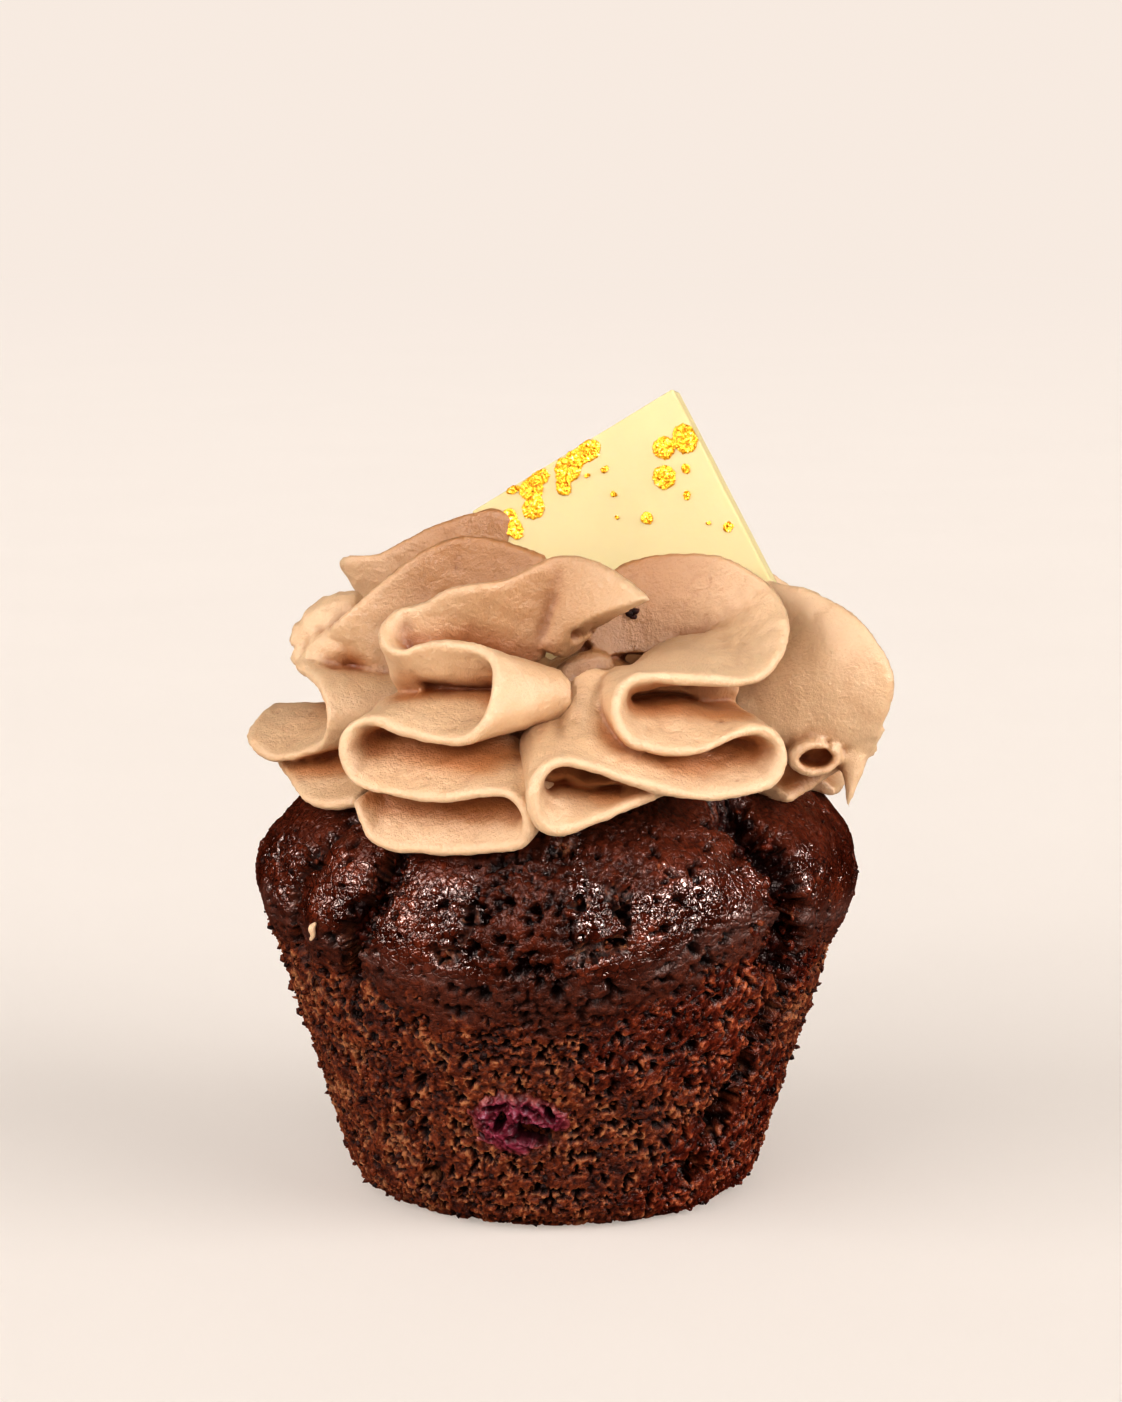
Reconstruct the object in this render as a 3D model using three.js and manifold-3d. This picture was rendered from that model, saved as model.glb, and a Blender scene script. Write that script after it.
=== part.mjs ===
// Chocolate muffin in millimetres, +Z up, front towards -Y, standing on z = 0: a peeled sponge with
// a cracked crust, a piece of fruit in its side, six piped ruffles of chocolate buttercream and a
// square of white chocolate pushed in between them.
import * as THREE from "three";
import Module from "manifold-3d";
import { ConvexGeometry } from "three/addons/geometries/ConvexGeometry.js";
import { mergeVertices } from "three/addons/utils/BufferGeometryUtils.js";

const wasm = await Module();
wasm.setup();

// ---- driving dimensions ----
const GAP = 0.3; // clearance left between neighbouring solids
const MERGE = 2e-3; // corners closer than this are one corner
const DOME_TOP = 57; // height of the sponge's dome, under the frosting
const FOOT_RADIUS = 21; // flat underside, as left by the muffin tin
const BODY_RADIUS_LOW = 24.5; // tapered body at the foot
const BODY_RADIUS_RIM = 35; // tapered body at the tin's rim
const RIM_HEIGHT = 32; // depth of the muffin tin
const CRUST_LEDGE = 0.7; // how far the crust stands out over the body
const CRUST_EDGE = 32.5; // height of the crust's lower edge away from its tongues
const LEVEL_HEIGHT = 41; // from here up the crust is level all round, whatever its edge does
const AZIMUTH_STEPS = 48;
const SPAN_STEPS = 2; // straight steps of a ribbon from knot to knot
const STRAND_SIDES = 5;
const HEART_SETBACK = 1.5; // how far a ruffle's heart lies behind its centre

// Colours of the foods.
const CRUMB = 0x3a1a12;
const FLESH = 0x7a2338;
const BUTTERCREAM = 0xd9ab80;
const WHITE_CHOCOLATE = 0xf8e3a4;

// Tongues of crust that ran down the side, and where its edge stays higher up: azimuth, how far down, half
// width in degrees.
const TONGUES = [
  { azimuth: -5, drop: 6.2, width: 34 },
  { azimuth: 42, drop: -3, width: 16 },
  { azimuth: 165, drop: 4.5, width: 34 },
];

// Cracks between the lobes of the crust: azimuth at the top and at the crust's edge, depth, width.
const CRACKS = [
  { top: -54, low: -65, depth: 2.6, width: 5 },
  { top: -31, low: -47, depth: 2.6, width: 5 },
  { top: 50, low: 54, depth: 3.8, width: 8 },
  { top: 116, low: 104, depth: 2.4, width: 5 },
  { top: 158, low: 146, depth: 2.8, width: 6 },
  { top: -134, low: -116, depth: 2.6, width: 6 },
];

// Outline of the crust where its edge is at CRUST_EDGE: radius and height.
const CRUST_OUTLINE = [
  [36.9, 36.5], [37.6, 40], [36.5, 44], [34.4, 47.3], [32, 49.8], [28, 52.3], [22.5, 54.7], [14, 56.4], [6, 56.9],
];

const FRUIT = { azimuth: -8.5, height: 14.8, halfWidth: 6.9, halfHeight: 4.7, halfDepth: 4 };
const PLATE = { width: 30.5, height: 31, thickness: 2.8, turn: 22, lean: 14, roll: 33, corner: [14.6, 5.8, 99.9] };

// Piped ruffles: one ribbon each, folded left and right while it climbs, over a rounded heart. `centre`
// is the out and up place of the middle that the ribbon's reaches are measured from, `heart` the heart's
// half width and radius. A fold is the lip's sideways place, angle above level, half opening and reach,
// then its root's sideways place, rise over the lip and reach; one with no opening is a plain point.
const RIBBON = { edge: 1.6, root: 5, loop: 3.6, rootOpening: 0.35, angleScale: 22 };
const RUFFLES = {
  ruffle_front_left: {
    azimuth: -26, centre: [14, 58], heart: [9.5, 11.5],
    folds: [
      [-9.5, -12, 0, 20.4, -9, 8, 11], [-7, -22, 0, 22.3, -7, 14, 11.5], [2.5, -24, 0, 22.3, 3, 16, 12],
      [14, -12, 9, 22, 12, 10, 11.3], [3, -6, 0, 22.7, 4, 20, 11.5], [-9.8, 5.5, 10, 22.7, -9, 18, 11.9],
      [-1, 12.5, 0, 22.6, 1, 24, 13], [8.9, 26, 14.5, 22, 11.8, 16, 12.5],
      [-2.3, 41.2, 0, 21.6, -2, -5, 14.5], [-8.6, 48, 9.5, 21.2, -7.5, -4, 14],
      [-1.6, 61, 0, 22.8, -1, 0, 12.5], [4.2, 69, 0, 22.4, 3.5, 0, 12], [9.5, 81, 0, 24, 6.5, 0, 13],
      [15.2, 78.5, 0, 23.5, 8, 0, 13.5], [21, 70.5, 0, 22.2, 8.5, 14, 14], [22.8, 67, 0, 22, 8.5, 18, 14.3],
    ],
  },
  ruffle_front_right: {
    azimuth: 20, centre: [14, 58], heart: [9.5, 11.5],
    folds: [
      [4, -3, 0, 20.5, 4, 12, 11], [-2, -7.5, 0, 21.2, 0, 12, 11], [-8, -12, 0, 22, -6, 14, 11],
      [-15.9, -4, 10.8, 22.2, -11, 18, 11.5], [-4, 0, 0, 22.5, -4, 46, 13], [5, -6.5, 0, 22.6, 5, 28, 12],
      [15.6, 3.6, 9.1, 21.8, 13, 16, 11.5], [4, 7.5, 0, 22.6, 6, 20, 14], [-5, 20, 11, 22, -1.5, 18, 13.5],
      [6, 28, 0, 23.2, 7, 30, 13.5], [13.4, 28.8, 0, 22.2, 12, 32, 14], [18.5, 45, 0, 21.3, 13, 18, 13.5],
      [19, 68, 0, 21.2, 13.5, 4, 12], [14.5, 82.5, 0, 22.6, 11, -2, 11], [5.4, 95, 0, 21.6, 5, -5, 11],
      [0, 95, 0, 18.3, 3.5, -4, 11], [-4.4, 93.5, 0, 15.6, 0.5, -3, 11],
    ],
  },
  ruffle_left: {
    azimuth: -80, centre: [15, 57], heart: [9.5, 10.5],
    folds: [
      [14, -23, 0, 12.5, 9, 0, 7], [10, -20, 0, 17, 8, 0, 8], [3, -12, 0, 18.5, 3, 5, 9],
      [-11.5, 2, 6.5, 19.3, -8, 5, 9], [-3, 1, 0, 22.6, -3, 15, 9], [2, -4, 0, 20.4, 2, 25, 9],
      [8, 3, 0, 15.6, 7, 30, 8], [11, 19, 0, 15.2, 9, 25, 8], [8, 29, 0, 17, 7, 20, 9],
      [-2, 30.5, 0, 19.8, -2, 15, 9.5], [-7, 36, 0, 19, -6, 10, 10], [-2, 46, 0, 18.5, -2, 5, 10],
      [4.5, 50, 0, 19.6, 4, 8, 10], [5.5, 71, 0, 21.3, 4, 0, 10.5], [6, 86.5, 0, 24.2, 5, 0, 11],
      [8, 97.5, 0, 26, 6, 0, 11], [11, 106.5, 0, 26.2, 8, 0, 11], [14, 115.5, 0, 26.3, 10, 0, 11],
    ],
  },
  ruffle_right: {
    azimuth: 84, centre: [15, 58], heart: [10.5, 11.5],
    folds: [
      [2, -22, 0, 21, 2, 0, 9], [13, -14, 8, 22, 9, 4, 10], [-1, 1, 8, 22, 0, 8, 10],
      [13, 16, 8, 22, 9, 8, 10], [-1, 32, 8, 21, 0, 6, 10], [12, 50, 11, 21, 9, 4, 10],
      [3.5, 65, 0, 20.5, 3, 0, 10], [-3, 56, 0, 22.4, -3, 0, 11], [-7, 45, 0, 25.3, -5, 0, 11],
      [-11, 35, 0, 27.3, -8, 0, 10.5], [-13.5, 27, 0, 28.3, -9.5, 0, 10], [-14, 18, 0, 28.2, -9.5, 0, 9],
      [-12.5, 7, 0, 25.8, -9, 0, 8], [-10.5, 0, 0, 24.5, -8, 0, 8], [-9, -7, 0, 21, -7, 0, 8],
      [-10, -18, 0, 17.5, -7, 0, 8], [-12, -24, 0, 15.5, -8, 0, 8],
    ],
  },
  ruffle_back_left: {
    azimuth: -149, centre: [14, 58], heart: [9.5, 11],
    folds: [
      [-11, -22, 0, 21, -8, 0, 10], [14.5, -14, 9, 21.5, 10, 5, 10.5], [-14, 2, 9, 21, -10, 10, 11],
      [13.5, 22, 10, 21, 9.5, 12, 11.5], [-13, 43, 10, 21, -9, 5, 11.5], [18.5, 73, 9, 20.8, 12, 0, 11],
      [10, 87, 0, 23.3, 8, 0, 11.5], [4.5, 92, 0, 25.4, 4, 0, 12], [1, 95, 0, 25.8, 1.5, 0, 12.5],
      [-1.6, 97, 0, 23.5, 0, 0, 12.5],
    ],
  },
  ruffle_back_right: {
    azimuth: 149, centre: [14, 58], heart: [9.5, 11],
    folds: [
      [11, -21, 0, 21, 8, 0, 10], [-14.5, -15, 8, 21, -10, 5, 10.5], [13.5, 1, 10, 22, 10, 10, 11],
      [-14, 22, 11, 21.5, -10, 12, 11.5], [12, 44, 10, 20.5, 9, 5, 11.5], [-13.5, 66, 11, 22, -9.5, 0, 11],
      [-4, 83, 0, 23, -3.6, 0, 11], [6, 88, 0, 22.5, 5, 0, 11],
    ],
  },
};

// Small parts of the piping: strands given by stations of x, y, z and radius.
const STRANDS = {
  ruffle_front_right: [
    [[-0.8, -15.6, 65.2, 1], [1.4, -16.6, 67.4, 1.5], [4, -16, 68.7, 1.5], [6.6, -15, 68.4, 1.1]],
    [[12.5, -21.5, 66.2, 2.4], [17, -20, 66.5, 2.6], [21.2, -17.8, 66.3, 2.2]],
  ],
  ruffle_left: [
    [[-29.6, -1.8, 68.2, 2.6], [-28.6, -2.6, 70.6, 3.2], [-26.4, -3.2, 72.3, 3.2], [-23.6, -3.8, 73.2, 2.7]],
    [[-29.2, -4.4, 66.6, 2.4], [-27.2, -5.4, 68.6, 3], [-24.4, -6, 70.2, 2.8], [-21.6, -6.4, 71.6, 2.4]],
  ],
  ruffle_right: [
    [[30.4, -8.2, 73.6, 1.3], [30.3, -8.2, 75.6, 0.8], [30, -8.2, 77, 0.25]],
    [[36.3, -13.6, 59.5, 1.7], [36.3, -13.9, 56.5, 1.6], [36, -14.3, 53.6, 1], [35.7, -14.8, 50.6, 0.3]],
  ],
};
// The rolled end of the right ruffle's lip: an oval tube.
const CURL = { node: "ruffle_right", centre: [31.5, -16.4, 57], halfWidth: 2.75, halfHeight: 1.75, wall: 0.6, depth: 6 };

const rad = (degrees) => (degrees * Math.PI) / 180;
const bell = (x, width) => Math.exp(-((x / width) ** 2));
const wrapped = (degrees) => ((((degrees + 180) % 360) + 360) % 360) - 180;

// ---- sponge ----

function crustEdge(azimuth) {
  const drops = TONGUES.map((t) => t.drop * bell(wrapped(azimuth - t.azimuth), t.width));
  return CRUST_EDGE - drops.reduce((a, b) => a + b, 0) + 0.8 * Math.sin(rad(azimuth * 3 + 40));
}

function crackDepth(azimuth, z, edge) {
  const share = THREE.MathUtils.clamp((DOME_TOP - 5 - z) / (DOME_TOP - 5 - edge), 0, 1);
  const fade = THREE.MathUtils.smoothstep(z, edge - 5, edge + 2) * THREE.MathUtils.smoothstep(-z, -54, -49);
  const depths = CRACKS.map((c) => {
    const line = c.top + (c.low - c.top) * share;
    return c.depth * bell(wrapped(azimuth - line), c.width);
  });
  return fade * depths.reduce((a, b) => a + b, 0);
}

// Radius and height of each ring at one azimuth, from the foot to the crown.
function spongeOutline(azimuth, grow) {
  const edge = crustEdge(azimuth);
  const slope = (BODY_RADIUS_RIM - BODY_RADIUS_LOW) / RIM_HEIGHT;
  const body = (z) => BODY_RADIUS_LOW + slope * z;
  const lump = 0.45 * Math.sin(rad(azimuth * 5)) + 0.35 * Math.sin(rad(azimuth * 8 + 60));
  const rings = [[FOOT_RADIUS * 0.5, -grow], [FOOT_RADIUS, -grow], [23.3 + grow, 0.9 - grow], [body(3.2) + grow, 3.2]];
  for (const share of [0.25, 0.5, 0.75, 0.96]) {
    const z = 3.2 + (edge - 3.2) * share;
    rings.push([body(z) + grow, z]);
  }
  rings.push([body(edge) + CRUST_LEDGE + grow, edge + 0.8]);
  for (const [radius, height] of CRUST_OUTLINE) {
    const stretch = (LEVEL_HEIGHT - edge) / (LEVEL_HEIGHT - CRUST_EDGE);
    const z = height < LEVEL_HEIGHT ? LEVEL_HEIGHT - (LEVEL_HEIGHT - height) * stretch : height;
    const fade = Math.min(1, radius / 30);
    rings.push([radius + lump * fade - crackDepth(azimuth, z, edge) + grow * fade, z + grow * (1 - fade * 0.6)]);
  }
  return rings;
}

function spongeSolid(grow = 0) {
  const outlines = [];
  for (let i = 0; i < AZIMUTH_STEPS; i++) {
    outlines.push(spongeOutline((360 * i) / AZIMUTH_STEPS - 180, grow));
  }
  const rings = outlines[0].length;
  const points = [[0, 0, -grow]];
  outlines.forEach((outline, i) => {
    const a = rad((360 * i) / AZIMUTH_STEPS - 180);
    for (const [r, z] of outline) points.push([r * Math.sin(a), -r * Math.cos(a), z]);
  });
  points.push([0, 0, DOME_TOP + grow]);
  const crown = points.length - 1;
  const at = (i, j) => 1 + (i % AZIMUTH_STEPS) * rings + j;
  const triangles = [];
  for (let i = 0; i < AZIMUTH_STEPS; i++) {
    triangles.push([0, at(i + 1, 0), at(i, 0)]);
    for (let j = 0; j + 1 < rings; j++) {
      triangles.push([at(i, j), at(i + 1, j), at(i + 1, j + 1)], [at(i, j), at(i + 1, j + 1), at(i, j + 1)]);
    }
    triangles.push([at(i, rings - 1), at(i + 1, rings - 1), crown]);
  }
  const skin = new THREE.BufferGeometry();
  skin.setAttribute("position", new THREE.Float32BufferAttribute(points.flat(), 3));
  skin.setIndex(triangles.flat());
  return solidOf(skin);
}

// A closed geometry, its shared corners merged, as a solid that can be joined and cut.
function solidOf(geometry) {
  geometry.deleteAttribute("normal");
  geometry.deleteAttribute("uv");
  const merged = mergeVertices(geometry, 1e-5);
  const mesh = new wasm.Mesh({
    numProp: 3,
    vertProperties: new Float32Array(merged.attributes.position.array),
    triVerts: new Uint32Array(merged.index.array),
  });
  return new wasm.Manifold(mesh);
}

const joined = (solids) => solids.reduce((whole, solid) => whole.add(solid));

// ---- fruit piece ----

function fruitBall(grow) {
  const { azimuth, height, halfWidth, halfHeight, halfDepth } = FRUIT;
  const reach = BODY_RADIUS_LOW + ((BODY_RADIUS_RIM - BODY_RADIUS_LOW) * height) / RIM_HEIGHT - 1.2;
  const ball = new THREE.SphereGeometry(1, 14, 8)
    .scale(halfWidth + grow, halfDepth + grow, halfHeight + grow)
    .rotateX(rad(-18))
    .rotateZ(rad(azimuth))
    .translate(reach * Math.sin(rad(azimuth)), -reach * Math.cos(rad(azimuth)), height);
  return solidOf(ball);
}

function fruitPiece(spongeSkin) {
  const hollow = new THREE.SphereGeometry(1, 9, 6)
    .scale(3.1, 2.2, 1.7)
    .rotateX(rad(-18))
    .rotateY(rad(25))
    .rotateZ(rad(FRUIT.azimuth))
    .translate(-2.3, -29.7, 14.1);
  return fruitBall(0).intersect(spongeSkin).subtract(solidOf(hollow));
}

// ---- piped ruffles ----

// Knots of a ribbon: side, angle and reach of the lip, then of the root. Angles are arc lengths.
function ribbonKnots(folds) {
  const arc = rad(RIBBON.angleScale);
  const knots = [];
  for (const [side, angle, open, reach, rootSide, rise, rootReach] of folds) {
    const rootAngle = angle + rise;
    if (!open) {
      knots.push([side, angle * arc, reach, rootSide, rootAngle * arc, rootReach]);
      continue;
    }
    const back = Math.sign(side) * Math.min(RIBBON.loop, open * arc);
    const rootOpen = open * RIBBON.rootOpening;
    for (const [inward, turn] of [[1, -1], [0.3, -0.72], [0, 0], [0.3, 0.72], [1, 1]]) {
      const lip = [side - back * inward, (angle + open * turn) * arc, reach];
      knots.push([...lip, rootSide - back * inward, (rootAngle + rootOpen * turn) * arc, rootReach]);
    }
  }
  return knots;
}

// Centripetal spline through the knots, `per` samples to a span.
function spline(knots, per) {
  const mirror = (a, b) => a.map((v, k) => 2 * v - b[k]);
  const rows = [mirror(knots[0], knots[1]), ...knots, mirror(knots.at(-1), knots.at(-2))];
  const span = (a, b) => Math.sqrt(Math.max(Math.hypot(a[0] - b[0], a[1] - b[1]), 1e-6));
  const mix = (a, b, ta, tb, t) => a.map((v, k) => ((tb - t) * v + (t - ta) * b[k]) / (tb - ta));
  const out = [];
  for (let i = 1; i + 2 < rows.length; i++) {
    const [p0, p1, p2, p3] = rows.slice(i - 1, i + 3);
    const t1 = span(p0, p1);
    const t2 = t1 + span(p1, p2);
    const t3 = t2 + span(p2, p3);
    for (let s = 0; s < per; s++) {
      const t = t1 + ((t2 - t1) * s) / per;
      const a1 = mix(p0, p1, 0, t1, t);
      const a2 = mix(p1, p2, t1, t2, t);
      const a3 = mix(p2, p3, t2, t3, t);
      out.push(mix(mix(a1, a2, 0, t2, t), mix(a2, a3, t1, t3, t), t1, t2, t));
    }
  }
  out.push(knots.at(-1));
  return out;
}

function ruffleAxes({ azimuth, centre }) {
  const out = new THREE.Vector3(Math.sin(rad(azimuth)), -Math.cos(rad(azimuth)), 0);
  const side = new THREE.Vector3(Math.cos(rad(azimuth)), Math.sin(rad(azimuth)), 0);
  const up = new THREE.Vector3(0, 0, 1);
  const middle = out.clone().multiplyScalar(centre[0]).addScaledVector(up, centre[1]);
  return { out, side, up, middle };
}

// The ribbon is a wedge, thin at its lip and thick at its root, in convex steps from knot to knot.
function ruffleSolid(name, grow = 0) {
  const ruffle = RUFFLES[name];
  const { out, side, up, middle } = ruffleAxes(ruffle);
  const place = (t, arc, reach) => {
    const angle = arc / RIBBON.angleScale;
    return middle.clone()
      .addScaledVector(side, t)
      .addScaledVector(out, reach * Math.cos(angle))
      .addScaledVector(up, reach * Math.sin(angle));
  };
  const rows = spline(ribbonKnots(ruffle.folds), SPAN_STEPS).map(([side, arc, reach, rootSide, rootArc, rootReach]) => ({
    lip: place(side, arc, reach + grow),
    root: place(rootSide, rootArc, rootReach),
  }));
  const cuts = rows.map((row, i) => {
    const before = rows[Math.max(i - 1, 0)];
    const after = rows[Math.min(i + 1, rows.length - 1)];
    const across = row.lip.clone().sub(row.root);
    const corners = [];
    for (const [end, thick] of [["root", RIBBON.root], ["lip", RIBBON.edge]]) {
      const along = after[end].clone().sub(before[end]);
      const normal = along.cross(across).normalize().multiplyScalar(thick / 2 + grow);
      corners.push(row[end].clone().add(normal), row[end].clone().sub(normal));
    }
    return corners;
  });
  const steps = cuts.slice(1).map((cut, i) => solidOf(new ConvexGeometry([...cuts[i], ...cut])));
  const strands = (STRANDS[name] ?? []).flatMap((stations) => strandSteps(stations, grow));
  const whole = joined([ruffleHeart(ruffle, grow), ...steps, ...strands]);
  return name === CURL.node ? curled(whole, grow) : whole;
}

// The solid heart of a ruffle, behind its folds.
function ruffleHeart({ azimuth, centre, heart }, grow) {
  const [width, radius] = heart;
  const reach = centre[0] - HEART_SETBACK;
  const ball = new THREE.SphereGeometry(1, 10, 7)
    .scale(width + grow, radius + grow, radius + grow)
    .rotateZ(rad(azimuth))
    .translate(reach * Math.sin(rad(azimuth)), -reach * Math.cos(rad(azimuth)), centre[1]);
  return solidOf(ball);
}

// Convex steps of a strand, each with a small ring of corners at both ends.
function strandSteps(stations, grow) {
  const ring = (station, along) => {
    const helper = new THREE.Vector3(0.31, 0.87, 0.38);
    const across = along.clone().cross(helper).normalize();
    const over = along.clone().cross(across).normalize();
    const corners = [];
    for (let k = 0; k < STRAND_SIDES; k++) {
      const turn = (2 * Math.PI * k) / STRAND_SIDES;
      const offset = across.clone().multiplyScalar(Math.cos(turn)).addScaledVector(over, Math.sin(turn));
      corners.push(new THREE.Vector3(...station).addScaledVector(offset, station[3] + grow));
    }
    return corners;
  };
  const heading = (a, b) => new THREE.Vector3(...b).sub(new THREE.Vector3(...a)).normalize();
  const rings = stations.map((station, i) =>
    ring(station, heading(stations[Math.max(i - 1, 0)], stations[Math.min(i + 1, stations.length - 1)])));
  return rings.slice(1).map((corners, i) => solidOf(new ConvexGeometry([...rings[i], ...corners])));
}

// Adds the curl to a ruffle: an oval cylinder, then its bore.
function curled(solid, grow) {
  const { centre, halfWidth, halfHeight, wall, depth } = CURL;
  const oval = (margin, length) => new THREE.CylinderGeometry(1, 1, length, 10)
    .scale(halfWidth + margin, 1, halfHeight + margin)
    .translate(centre[0], centre[1] + depth / 2, centre[2]);
  const whole = solid.add(solidOf(oval(wall + grow, depth + 2 * grow)));
  return grow ? whole : whole.subtract(solidOf(oval(-wall, depth)).intersect(solidOf(curlFront())));
}

// The space in front of the curl, and the front two thirds of its length: as deep as the bore goes.
function curlFront() {
  const { centre, depth } = CURL;
  return new THREE.BoxGeometry(10, depth, 10).translate(centre[0], centre[1], centre[2]);
}

// ---- white chocolate ----

// The square hangs from its top right corner: a box turned in its own plane, leaned back and turned.
function plateBox(grow = 0) {
  const { width, height, thickness } = PLATE;
  return new THREE.BoxGeometry(width + 2 * grow, thickness + 2 * grow, height + 2 * grow)
    .translate(-width / 2, thickness / 2, -height / 2);
}

function platePlace() {
  const { turn, lean, roll, corner } = PLATE;
  return new THREE.Matrix4()
    .makeRotationZ(rad(-turn))
    .multiply(new THREE.Matrix4().makeRotationX(rad(-lean)))
    .multiply(new THREE.Matrix4().makeRotationY(rad(-roll)))
    .setPosition(...corner);
}

// ---- meshes ----

// The triangles of the connected skin that has the most of them: trimming leaves slivers, and closed
// pockets between the folds, that are not part of the food.
function mainPiece(index) {
  const parent = Array.from({ length: Math.max(...index) + 1 }, (_, corner) => corner);
  const root = (corner) => {
    while (parent[corner] !== corner) corner = parent[corner] = parent[parent[corner]];
    return corner;
  };
  for (let i = 0; i < index.length; i += 3) {
    parent[root(index[i + 1])] = root(index[i]);
    parent[root(index[i + 2])] = root(index[i]);
  }
  const pieces = new Map();
  for (let i = 0; i < index.length; i += 3) {
    const key = root(index[i]);
    if (!pieces.has(key)) pieces.set(key, []);
    pieces.get(key).push(...index.slice(i, i + 3));
  }
  return [...pieces.values()].reduce((a, b) => (b.length > a.length ? b : a));
}

// The skin of a solid's main piece, without the hair-thin triangles that cutting leaves.
function geometryOf(solid) {
  const source = solid.getMesh();
  const geometry = new THREE.BufferGeometry();
  geometry.setAttribute("position", new THREE.BufferAttribute(new Float32Array(source.vertProperties), 3));
  geometry.setIndex(mainPiece(source.triVerts));
  const merged = mergeVertices(geometry, MERGE);
  const kept = [];
  for (let i = 0; i < merged.index.count; i += 3) {
    const [a, b, c] = merged.index.array.slice(i, i + 3);
    if (a !== b && b !== c && c !== a) kept.push(a, b, c);
  }
  merged.setIndex(kept);
  return merged.toNonIndexed();
}

function food(name, geometry, color, roughness) {
  const mesh = new THREE.Mesh(geometry, new THREE.MeshStandardMaterial({ color, roughness, metalness: 0 }));
  mesh.name = name;
  return mesh;
}

function frosting() {
  const ruffles = new THREE.Group();
  let taken = spongeSolid(GAP).add(solidOf(plateBox(GAP).applyMatrix4(platePlace())));
  for (const name of Object.keys(RUFFLES)) {
    const solid = ruffleSolid(name);
    const trimmed = geometryOf(solid.subtract(taken));
    ruffles.add(food(name, trimmed, BUTTERCREAM, 0.6));
    taken = taken.add(solid).add(ruffleSolid(name, GAP));
  }
  return ruffles;
}

function cake() {
  const group = new THREE.Group();
  const sponge = spongeSolid().subtract(fruitBall(GAP));
  group.add(food("sponge", geometryOf(sponge), CRUMB, 0.7));
  group.add(food("fruit_piece", geometryOf(fruitPiece(spongeSolid(0.2))), FLESH, 0.5));
  return group;
}

function decoration() {
  const plate = food("white_chocolate_square", plateBox(), WHITE_CHOCOLATE, 0.4);
  plate.applyMatrix4(platePlace());
  return plate;
}

const muffin = new THREE.Group();
muffin.add(cake(), frosting(), decoration());

export default muffin;
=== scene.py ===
"""Chocolate muffin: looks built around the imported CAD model, in metres, +Z up, front towards -Y."""

import math

import bpy
import numpy as np
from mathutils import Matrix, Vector


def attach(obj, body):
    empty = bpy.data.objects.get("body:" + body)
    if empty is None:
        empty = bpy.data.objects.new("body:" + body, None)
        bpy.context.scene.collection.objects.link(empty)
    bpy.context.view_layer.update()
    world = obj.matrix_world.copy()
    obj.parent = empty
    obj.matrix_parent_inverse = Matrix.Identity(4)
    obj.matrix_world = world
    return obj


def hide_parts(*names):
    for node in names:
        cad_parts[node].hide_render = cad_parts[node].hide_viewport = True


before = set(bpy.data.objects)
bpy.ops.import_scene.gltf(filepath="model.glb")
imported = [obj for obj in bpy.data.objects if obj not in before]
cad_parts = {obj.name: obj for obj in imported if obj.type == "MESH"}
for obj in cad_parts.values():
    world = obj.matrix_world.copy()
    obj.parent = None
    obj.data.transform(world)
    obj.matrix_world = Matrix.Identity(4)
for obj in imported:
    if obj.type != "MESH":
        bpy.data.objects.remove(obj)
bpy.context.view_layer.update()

MM = 0.001  # shapes below are worked out in millimetres and stored in metres
UP = np.array([0, 0, 1.0])

# ---- sponge, the same driving dimensions as the solid, in millimetres ----
DOME_TOP = 57.0
FOOT_RADIUS = 21.0
BODY_RADIUS_LOW = 24.5  # tapered body at the foot
BODY_RADIUS_RIM = 35.0  # tapered body at the tin's rim
RIM_HEIGHT = 32.0
CRUST_LEDGE = 0.5  # how far the crust stands out over the body
LEVEL_HEIGHT = 41.0  # from here up the crust is level all round, whatever its edge does
CRUST_EDGE = 32.5  # height of the crust's lower edge away from its tongues
TONGUES = [(-5, 6.2, 34), (42, -3, 16), (165, 4.5, 34)]  # azimuth, drop, half width in degrees
# azimuth at the top, azimuth at the crust's edge, depth, half width in degrees
CRACKS = [
    (-54, -65, 3.4, 3.2), (-31, -47, 3.4, 3.4), (50, 54, 5.2, 7.5),
    (116, 104, 3.2, 3.6), (158, 146, 3.6, 4), (-134, -116, 3.4, 4),
]  # fmt: skip
# azimuth, height, half width, half height, depth
CREVICES = [
    (56, 30, 2.2, 3.0, 3.4), (51, 25, 1.9, 3.2, 4.0), (48, 19.5, 1.3, 2.2, 3.4), (44, 13.5, 2.3, 3.6, 4.0),
    (40, 6.5, 1.9, 2.2, 3.0), (-33, 6.5, 1.6, 1.3, 2.2), (-37, 15, 0.9, 1.5, 1.8), (128, 17, 1.8, 4.5, 3.0),
    (-122, 12, 1.8, 3.8, 2.6), (12.5, 45.5, 1.5, 1.4, 1.8), (12.8, 41.8, 0.6, 2.6, 1.9),
    (8.5, 38.2, 3.2, 1.2, 1.8), (4.5, 43.5, 1.2, 0.7, 1.4), (-16.5, 40.8, 0.9, 2.4, 1.5),
    (-21, 36.5, 2.2, 1.0, 1.5), (21, 33.5, 1.6, 0.6, 1.2), (2, 50, 1.4, 0.6, 0.9), (88, 41, 2.6, 1.4, 1.5),
    (-92, 40, 2.0, 1.8, 1.5), (178, 43, 3.0, 1.2, 1.6),
]  # fmt: skip
MOIST_AZIMUTH = 50  # middle of the moist side of the crumb
STRIP_AZIMUTH = -2  # middle of a torn, dull strip of the crust
# radius and height of the crust from its edge up
CRUST_OUTLINE = [
    (36.9, 36.5), (37.6, 40), (36.5, 44), (34.4, 47.3), (32, 49.8), (28, 52.3), (22.5, 54.7), (14, 56.4),
    (6, 56.9),
]  # fmt: skip
FRUIT = {"azimuth": -8.5, "height": 14.8, "half_width": 6.9, "half_height": 4.7}
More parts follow.
